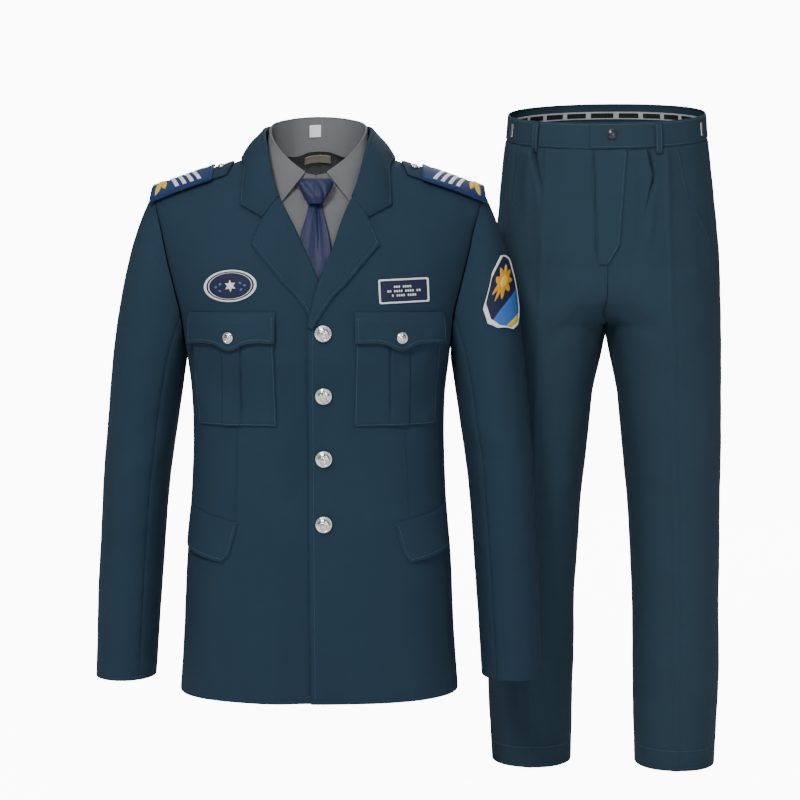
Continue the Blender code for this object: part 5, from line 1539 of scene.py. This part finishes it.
def stripe(name, place, x, y, wide, rise, look):
    """A raised stripe of embroidery that runs along x and y and is so wide along x."""
    points = []
    profile = ((0.0, -0.0004), (0.05, rise * 0.7), (0.3, rise), (0.7, rise), (0.95, rise * 0.7), (1.0, -0.0004))
    for share, height in profile:
        at, _ = place(x + wide * share, y, height)
        points.append(at)
    points = np.array(points)
    rows, columns = points.shape[:2]
    faces = ring_faces(rows, columns, meet=True, closed=False)
    ends = [[i * columns for i in range(rows)], [i * columns + columns - 1 for i in range(rows)][::-1]]
    faces += [[end[0], end[k], end[k + 1]] for end in ends for k in range(1, rows - 1)]
    uv = np.stack([x + 0 * y, y * 0.016], axis=-1)
    return piece(name, points.reshape(-1, 3), faces, look, (), np.tile(uv, (rows, 1)), 60.0)


def buttons():
    for i, height in enumerate(FRONT_BUTTONS["height"]):
        centre, normal = on_front(1, FRONT_BUTTON_X, height, FRONT_BUTTONS["lift"][i])
        button(f"front_stud_{i + 1}", centre, normal, SILVER, [f"front_button_{i + 1}"])
    for side, word in SIDES:
        lift = POCKET_LIFT + REST * 4 + 2 * WOOL + PLEAT_RISE
        centre, normal = on_front(side, PLEAT_CENTRE, POCKET_BUTTON_HEIGHT, lift)
        nodes = ["breast_button_" + word]
        button("breast_stud_" + word, centre, normal, SILVER, nodes, POCKET_BUTTON_SCALE)


# Shirt and tie


def shirt_body():
    rise = np.sort(np.concatenate([rises(SHIRT_HEM), SHIRT_NECK["rise"][:1]]))
    under = {"height": SHIRT_EDGE["height"], "x": np.where(SHIRT_EDGE["x"] < 0, -0.006, SHIRT_EDGE["x"])}
    for side, word, edge, lift in ((1, "left", SHIRT_EDGE, 0.0), (-1, "right", under, -SHIRT_LAP)):
        turn = blend_columns(edge_turn(edge, rise, straight, 40), armhole("front_armhole", rise), 40, 1.3)
        points, normals = on_body(1, turn, rise[:, None], -SHIRT_INSET)
        fade = np.clip((LAP_END - points[..., 0]) / (LAP_END - 2 * LAP_FULL), 0, 1)[..., None]
        points = (points + normals * lift * fade) * np.array([side, 1, 1])
        normals = normals * np.array([side, 1, 1])
        points = trimmed(points, last=HALF, top=HALF)
        shell("shirt_" + word, points, normals, SHIRTING, GREY, "shirting", ["shirt_front_" + word], "stretched")
        if side > 0:
            stitched(edge_path(points, normals, "first", 0.0300), GREY, "placket")
    neck = np.where(rise > SHIRT_NECK["rise"][0], straight(SHIRT_NECK, "x", rise), 0.0)
    turn = blend_columns(180 - turn_at(neck, rise), 180 - armhole("back_armhole", rise), 30)
    for side, word in SIDES:
        points, normals = on_body(side, turn, rise[:, None], -SHIRT_INSET)
        points = trimmed(points, first=HALF, last=HALF, top=HALF)
        shell("shirt_rear_" + word, points, normals, SHIRTING, GREY, "shirting", ["shirt_back_" + word], "stretched")


def shirt_collar():
    middle = collar_grid(SHIRT_COLLAR, SHIRT_INSET, SHIRT_FOLD_RADIUS, SHIRTING)
    normals = grid_normals(middle)
    stand = trimmed(middle[:, : STAND_STEPS + 1], last=HALF)
    fall = trimmed(middle[1:-1, STAND_STEPS:], first=HALF)
    fall_normals = normals[1:-1, STAND_STEPS:]
    for name, middle, up in (("stand", stand, normals[:, : STAND_STEPS + 1]), ("fall", fall, fall_normals)):
        centred(name, middle, up, SHIRTING, GREY, "shirting", ["shirt_collar_" + name], held="folded")
    outer = fall + fall_normals * SHIRTING / 2
    sewn_edges("fall", outer, fall_normals, "last bottom top", 0.0055, GREY, "shirting")


def shirt_labels():
    middle = collar_grid(SHIRT_COLLAR, SHIRT_INSET, SHIRT_FOLD_RADIUS, SHIRTING)
    centre = len(middle) // 2
    inside = grid_normals(middle)[centre, 0]
    inside = inside * -np.sign(inside[1])
    step = int(round(1 / COLLAR_STEP))
    seam, fold = middle[centre, 0], middle[centre, STAND_STEPS]
    next_seam, next_fold = middle[centre - step, 0], middle[centre - step, STAND_STEPS]
    across = np.linspace(-0.0145, 0.0015, 12)
    up = np.linspace(0.42, 0.78, 8)[:, None]
    reach = (np.abs(across) / next_seam[0])[None, :, None]
    low = seam + (next_seam - seam) * reach
    high = fold + (next_fold - fold) * reach
    points = low + (high - low) * up[..., None]
    points[..., 0] = across
    points = points + inside * (SHIRTING / 2 + REST + LABEL_WALL)
    normals = np.broadcast_to(inside, points.shape)
    shell("label_white", points, normals, LABEL_WALL, WHITE_LABEL, "label_cloth", ["collar_label"], "laid")
    x = np.linspace(-0.0262, 0.0178, 24)
    climb = np.linspace(1.112, 1.078, 10)[:, None]
    points, normals = over(1, np.abs(x), climb, -SHIRT_INSET - SHIRTING - REST * 2)
    points[..., 0] = np.sign(x) * points[..., 0]
    normals[..., 0] = np.sign(x) * normals[..., 0]
    shell("label_cream", points, -normals, -LABEL_WALL, CREAM, "label_cloth", ["yoke_label"], "laid")


def tie():
    height = np.linspace(KNOT["height"][0], KNOT["height"][-1], 40)
    swing = np.linspace(0, 2 * math.pi, 64, endpoint=False)
    rings = []
    for z in height:
        half = smooth(KNOT, "half_width", z)
        deep = smooth(KNOT, "half_depth", z)
        x = signed_power(np.sin(swing), 0.8) * half
        front = signed_power(np.cos(swing), 0.8)
        y = smooth(KNOT, "y", z) - front * deep
        across = x / half
        line = across + 0.55 * (z + 0.045) / 0.02
        fold = 0.0016 * np.exp(-((line - 0.42) / 0.10) ** 2) + 0.0011 * np.exp(-((line + 0.55) / 0.12) ** 2)
        y = y + np.where(front > 0, fold, 0.0)
        rings.append(np.stack([x, y, z + 0 * x], axis=-1))
    count = len(swing)
    centre = [np.array([[0, smooth(KNOT, "y", z), z]]) for z in (height[0], height[-1])]
    points = np.concatenate(rings + centre)
    low = len(rings) * count
    faces = ring_faces(len(rings), count)
    faces += [[(j + 1) % count, j, low] for j in range(count)]
    last = (len(rings) - 1) * count
    faces += [[last + j, last + (j + 1) % count, low + 1] for j in range(count)]
    uv = np.concatenate([np.stack([swing / 6.28 * 0.1, z + 0 * swing], axis=-1) for z in height] + [np.zeros((2, 2))])
    piece("knot", points, faces, NAVY_SILK, ["tie_knot"], uv, 60.0)
    height = np.linspace(BLADE["height"][0], BLADE["height"][-1] + 0.004, 110)
    across = np.linspace(-1, 1, 41)
    x = smooth(BLADE, "half_width", height)[:, None] * across
    tip = np.linspace(1, 0, 110)[:, None] ** 8 * (1 - np.abs(across)) * BLADE_POINT
    near = np.clip((height[:, None] + 0.16) / 0.08, 0, 1)
    dimple = near * 0.0022 * np.exp(-((across - 0.30) / 0.16) ** 2)
    dimple = dimple - near * 0.0010 * np.exp(-((across + 0.35) / 0.2) ** 2)
    edge = 0.0012 * np.clip((np.abs(across) - 0.9) / 0.1, 0, 1) ** 2
    lift = smooth(BLADE, "lift", height)[:, None] - dimple - edge
    points = bare_on_front(x, height[:, None] - tip, lift)
    shell("blade", points, grid_normals(points), BLADE_WALL * 0.9, NAVY_SILK, "tie_silk", ["tie_blade"], "hung")


def bare_on_front(x, height, lift):
    """On the front without the jacket's creases, for what hangs under it."""
    x, height = np.broadcast_arrays(np.asarray(x, float), np.asarray(height, float))
    rise = rise_at(x, height)
    turn = turn_at(x, rise)
    return body_surface(turn, rise) + body_normal(turn, rise) * lift[..., None]


# Trousers


def trouser_shell(name, points, normals, wall, nodes=(), held=None, look=TROUSER, slot="trouser_wool"):
    """A shell that is worked out in the trousers' own frame. held is passed on but not used."""
    points, normals = placed(points, normals)
    shell(name, points, normals, wall, look, slot, list(nodes), held)
    return points, normals


def inner_wave(points):
    """The same sideways wave on both legs where they touch, so that they stay against each other."""
    x, y, z = points[..., 0], points[..., 1], points[..., 2]
    low = np.clip((-0.135 - z) / 0.012, 0, 1) * np.clip((z + 0.33) / 0.05, 0, 1)
    wave = 0.0032 * np.sin(y / 0.010 + 0.6) * low
    wave += 0.0018 * np.clip(y / 0.05, 0, 1) * np.clip((z + 0.14) / 0.03, 0, 1)
    return wave * np.clip(1 - np.abs(x) / SEAM_STILL, 0, 1)


def trouser_panels():
    height = np.concatenate([np.linspace(-0.883, -0.34, 60), np.linspace(-0.334, 0.0375, 88)])
    start = trouser_turn(HALF, height)
    crease = trouser_turn(straight(TROUSERS, "crease", height), height)
    for side, word, near, far, count in ((1, "left", 0.55, 0.82, 40), (-1, "right", 1.08, 1.24, 28)):
        share = np.unique(np.concatenate([2 * shares(72, 0.02), np.linspace(near, far, count)]))
        before = start[:, None] + (crease - start)[:, None] * share
        turn = np.where(share <= 1, before, 90 + (crease - 90)[:, None] * (2 - share))
        ridge = np.exp(-(((share - 1) / 0.035) ** 2)) * CREASE_RISE
        for face, base in (("front", turn), ("back", 180 - turn)):
            if face == "back":
                thin = np.isin(share, 2 * shares(72, 0.02))
                base, ridge = base[:, thin], ridge[thin]
            shape = ridge if face == "front" else ridge * np.clip((-0.15 - height[:, None]) / 0.1, 0, 1)
            points, normals = on_trousers(side, base, height[:, None], shape)
            points = trimmed(points, first=HALF, last=HALF)
            points[..., 0] += inner_wave(points)
            apart = np.clip((-0.27 - height) / 0.05, 0, 1)[:, None, None]
            roll = seam_roll(points, "first", 0.0010) * apart + seam_roll(points, "last top", 0.0010)
            points = points + normals * roll
            nodes = [f"trouser_{face}_{word}"]
            made = trouser_shell(f"leg_{face}_{word}", points, normals, TROUSER_CLOTH, nodes, "hung")
            if face == "front":
                stitched(edge_path(*made, "bottom", 0.0300), TEAL_THREAD, "hem_" + word)


POCKET_MOUTHS = {
    "left": table("row x height", "0 .101 .036  1 .115 -.04  2 .15 -.115"),
    "right": table("row x height", "0 .123 .036  1 .133 -.05  2 .15 -.12"),
}


def pocket_mouths():
    """A welt of piping along each slanted front pocket of the trousers."""
    for side, word in reversed(SIDES):
        marks = POCKET_MOUTHS[word]
        x = straight(marks, "x", np.linspace(0, 2, 40))
        z = straight(marks, "height", np.linspace(0, 2, 40))
        x = x[None, :] + np.linspace(-0.0016, 0.0016, 5)[:, None]
        z = z[None, :] + 0 * x
        crown = 0.0009 * (1 - np.linspace(-1, 1, 5)[:, None] ** 2) + 0.0003
        points, normals = on_trousers(side, trouser_turn(x, z), z, crown)
        trouser_shell("mouth_" + word, points, normals, 0.0008)


def seam_tacks():
    """Small stays of the same cloth on the inside, behind the crotch and behind the top of the fly."""
    x = np.linspace(-0.0075, 0.0045, 9) + np.zeros((11, 1))
    z = np.linspace(-0.2220, -0.2050, 11)[:, None] + 0 * x
    points = np.stack([x, 0.0120 + 30 * (x + 0.0015) ** 2, z], axis=-1)
    trouser_shell("tack_crotch", points, grid_normals(points), 0.0010)
    points, normals = round_waist(np.linspace(-3.0, 5.0, 12), np.linspace(0.0330, 0.0410, 8)[:, None], -0.0050)
    trouser_shell("tack_fly", points, normals, 0.0010)


def waistband():
    swing = np.linspace(BAND_START, BAND_END, 300)
    over_end = np.clip((BAND_LAP_END - swing) / BAND_LAP_FADE, 0, 1) * (BAND + REST)
    points, normals = round_waist(swing, np.linspace(WAIST_SEAM, RIM, 20)[:, None], over_end)
    points = trimmed(points, bottom=SEAM * 2)
    points = points + normals * seam_roll(points, "bottom top", 0.0010, 0.0024)
    made = trouser_shell("band", points, normals, BAND, ["trouser_waistband"], "stretched")
    stitched(edge_path(*made, "bottom", 0.0030), TEAL_THREAD, "band_low")
    stitched(edge_path(*made, "top", 0.0030), TEAL_THREAD, "band_top")
    height = np.linspace(RIM - TAPE_BOTTOM, RIM - TAPE_TOP, 8)[:, None]
    points, normals = round_waist(swing[35:-35], height, -BAND - REST)
    trouser_shell("tape", points, normals, LABEL_WALL, ["trouser_waist_tape"], "stretched", TAPE, "waist_tape")
    middle = RIM - (TAPE_BOTTOM + TAPE_TOP) / 2
    inner = -BAND - REST - LABEL_WALL - 0.0003
    for k, start in enumerate(np.arange(*DASHES)):
        height = middle + DASH_HALF * np.array([-1.0, 0.0, 1.0])[:, None]
        points, normals = round_waist(start + np.linspace(0, DASH_TURN, 12), height, inner)
        trouser_shell(f"dash_{k}", points, normals, 0.0002, look=BLACK, slot="waist_tape")
    for name, side, turn in LOOPS:
        swing = side * turn + LOOP_HALF * np.linspace(-1.0, 1.0, 9)
        extra = (BAND + REST) * max(0.0, (BAND_LAP_END - turn) / BAND_LAP_FADE) * (side > 0)
        height = np.linspace(LOOP["height"][0], LOOP["height"][-1], 30)
        lift = straight(LOOP, "lift", height)
        lift = np.convolve(np.pad(lift, 2, mode="edge"), np.ones(5) / 5, "valid")
        points, normals = round_waist(swing, height[:, None], lift[:, None] + TROUSER_CLOTH + extra)
        made = trouser_shell("loop_" + name, points, normals, TROUSER_CLOTH, ["belt_loop_" + name], "laid")
        sewn_edges("loop_" + name, *made, "first last", NARROW_STITCH, slot="trouser_wool")
    height = np.linspace(-0.1480, 0.0372, 60)
    left = straight(FLY_EDGE, "left", height)
    right = straight(FLY_EDGE, "right", height)
    x = left[:, None] + (right - left)[:, None] * shares(24, 0.03)
    swing = np.sign(x) * trouser_turn(np.abs(x), height[:, None])
    points, normals = round_waist(swing, height[:, None], REST * 1.4 + TROUSER_CLOTH)
    made = trouser_shell("fly", points, normals, TROUSER_CLOTH, ["trouser_fly"], "laid")
    stitched(edge_path(*made, "last", 0.0025), TEAL_THREAD, "fly_right")
    for side, word in SIDES:
        swing = side * TAB_TURN + TAB_HALF * np.linspace(-1, 1, 8)
        points, normals = round_waist(swing, np.linspace(*TAB_HEIGHTS, 20)[:, None], REST + TAB_WALL)
        trouser_shell("tab_" + word, points, normals, TAB_WALL, ["waist_tab_" + word], None, SILVER, "button_metal")
    points, normals = round_waist(np.array([[WAIST_BUTTON_TURN]]), np.array([[WAIST_BUTTON_HEIGHT]]), REST * 2 + BAND)
    points, normals = placed(points, normals)
    centre, normal = points[0, 0], normals[0, 0]
    button("waist_stud", centre, normal, DARK, ["waist_button"], WAIST_BUTTON_SCALE, 0.0)


# Seams that are sewn into a panel: side, then x and height where each begins and ends
SEWN = (
    ("dart_right", -1, 0.1085, -0.3700, 0.1100, -0.4980),
    ("dart_left", 1, 0.1190, -0.3700, 0.1260, -0.4980),
)


def sewn_seams():
    """The darts. Each shows as a pressed line: one lip of the cloth stands a little over the other."""
    for name, side, x0, z0, x1, z1 in SEWN:
        share = np.linspace(0, 1, 60)[:, None]
        step = np.linspace(-0.0020, 0.0020, 9)
        x = x0 + (x1 - x0) * share + step
        height = z0 + (z1 - z0) * share + 0 * x
        lip = np.where(step < 0, 0.0013 * (1 - (step / 0.0020) ** 2), -0.0003 + 0.0003 * np.abs(step) / 0.0020)
        fade = np.clip(np.minimum(share, 1 - share) * 12, 0, 1)
        points, normals = on_front(side, x, height, 0.00025 + lip * fade)
        shell(name, points, normals, 0.0005, TEAL, "uniform_wool", [], None)


# Camera, light and floor. What the camera sees of the sky and the floor is brighter than what they light, as the
# ground of such photos is white.

LIGHT_AIM = (0.13, 0.0, -0.40)
SKY_SEEN = 11.0
FLOOR_SEEN = 10.5
FLOOR_HALF = 8
FOCAL_LENGTH = 86.339
CAMERA_PLACE = (0.11421, -2.7, -0.1692)
CAMERA_DIP = 3.5858


def lights():
    for name, place, size, power in (
        ("key", (-1.1, -3.0, 2.5), 1.1, 125.0),
        ("fill", (1.2, -3.6, 0.3), 2.0, 30.0),
        ("top", (0.1, -0.4, 3.0), 2.4, 26.0),
        ("rear", (0.9, 3.4, 1.8), 2.2, 80.0),
    ):
        lamp = bpy.data.lights.new(name, "AREA")
        lamp.shape = "DISK"
        lamp.size = size
        lamp.energy = power
        made = bpy.data.objects.new(name, lamp)
        made.location = place
        made.rotation_euler = (Vector(LIGHT_AIM) - Vector(place)).to_track_quat("-Z", "Y").to_euler()
        bpy.context.scene.collection.objects.link(made)
    world = bpy.data.worlds.new("studio")
    world.use_nodes = True
    tree = world.node_tree
    where = add_node(tree, "ShaderNodeTexCoord")
    split = add_node(tree, "ShaderNodeSeparateXYZ")
    tree.links.new(where.outputs["Generated"], split.inputs[0])
    square = add_node(tree, "ShaderNodeMath", operation="MULTIPLY")
    tree.links.new(split.outputs["X"], square.inputs[0])
    tree.links.new(split.outputs["X"], square.inputs[1])
    spread = add_node(tree, "ShaderNodeMapRange")
    put(spread, {"To Min": 0.36, "To Max": 0.05})
    tree.links.new(square.outputs[0], spread.inputs["Value"])
    back = tree.nodes["Background"]
    back.inputs["Color"].default_value = (0.97, 0.98, 1.0, 1.0)
    seen = add_node(tree, "ShaderNodeLightPath")
    bright = add_node(tree, "ShaderNodeMath", operation="MULTIPLY_ADD")
    tree.links.new(seen.outputs["Is Camera Ray"], bright.inputs[0])
    put(bright, {1: SKY_SEEN})
    tree.links.new(spread.outputs["Result"], bright.inputs[2])
    tree.links.new(bright.outputs[0], back.inputs["Strength"])
    bpy.context.scene.world = world


def floor():
    mesh = bpy.data.meshes.new("floor")
    z = cad_box[0][2] - 0.004
    corners = [(x * FLOOR_HALF, y * FLOOR_HALF, z) for x, y in ((-1, -1), (1, -1), (1, 1), (-1, 1))]
    mesh.from_pydata(corners, [], [(0, 1, 2, 3)])
    made = bpy.data.objects.new("floor", mesh)
    bpy.context.scene.collection.objects.link(made)
    pale, tree, shader = new_material("floor_pale")
    put(shader, {"Base Color": (0.93, 0.93, 0.93, 1.0), "Roughness": 0.9, "Emission Color": (1.0, 1.0, 1.0, 1.0)})
    seen = add_node(tree, "ShaderNodeLightPath")
    glow = add_node(tree, "ShaderNodeMath", operation="MULTIPLY")
    put(glow, {1: FLOOR_SEEN})
    tree.links.new(seen.outputs["Is Camera Ray"], glow.inputs[0])
    tree.links.new(glow.outputs[0], shader.inputs["Emission Strength"])
    mesh.materials.append(pale)


def camera():
    lens = bpy.data.cameras.new("camera")
    lens.lens = FOCAL_LENGTH
    lens.sensor_width = 36.0
    made = bpy.data.objects.new("camera", lens)
    made.location = CAMERA_PLACE
    made.rotation_euler = (math.radians(90 - CAMERA_DIP), 0.0, 0.0)
    bpy.context.scene.collection.objects.link(made)
    bpy.context.scene.camera = made


def build():
    jacket_body()
    for side, word in SIDES:
        sleeve(side, word)
        lapel(side, word)
        jacket_pocket(side, word)
        jacket_flap(side, word)
        hip_flap(side, word)
        shoulder(side, word)
    jacket_collar()
    buttons()
    sewn_seams()
    badges()
    sleeve_patch()
    shirt_body()
    shirt_collar()
    shirt_labels()
    tie()
    trouser_panels()
    pocket_mouths()
    waistband()
    seam_tacks()
    lights()
    floor()
    camera()


build()
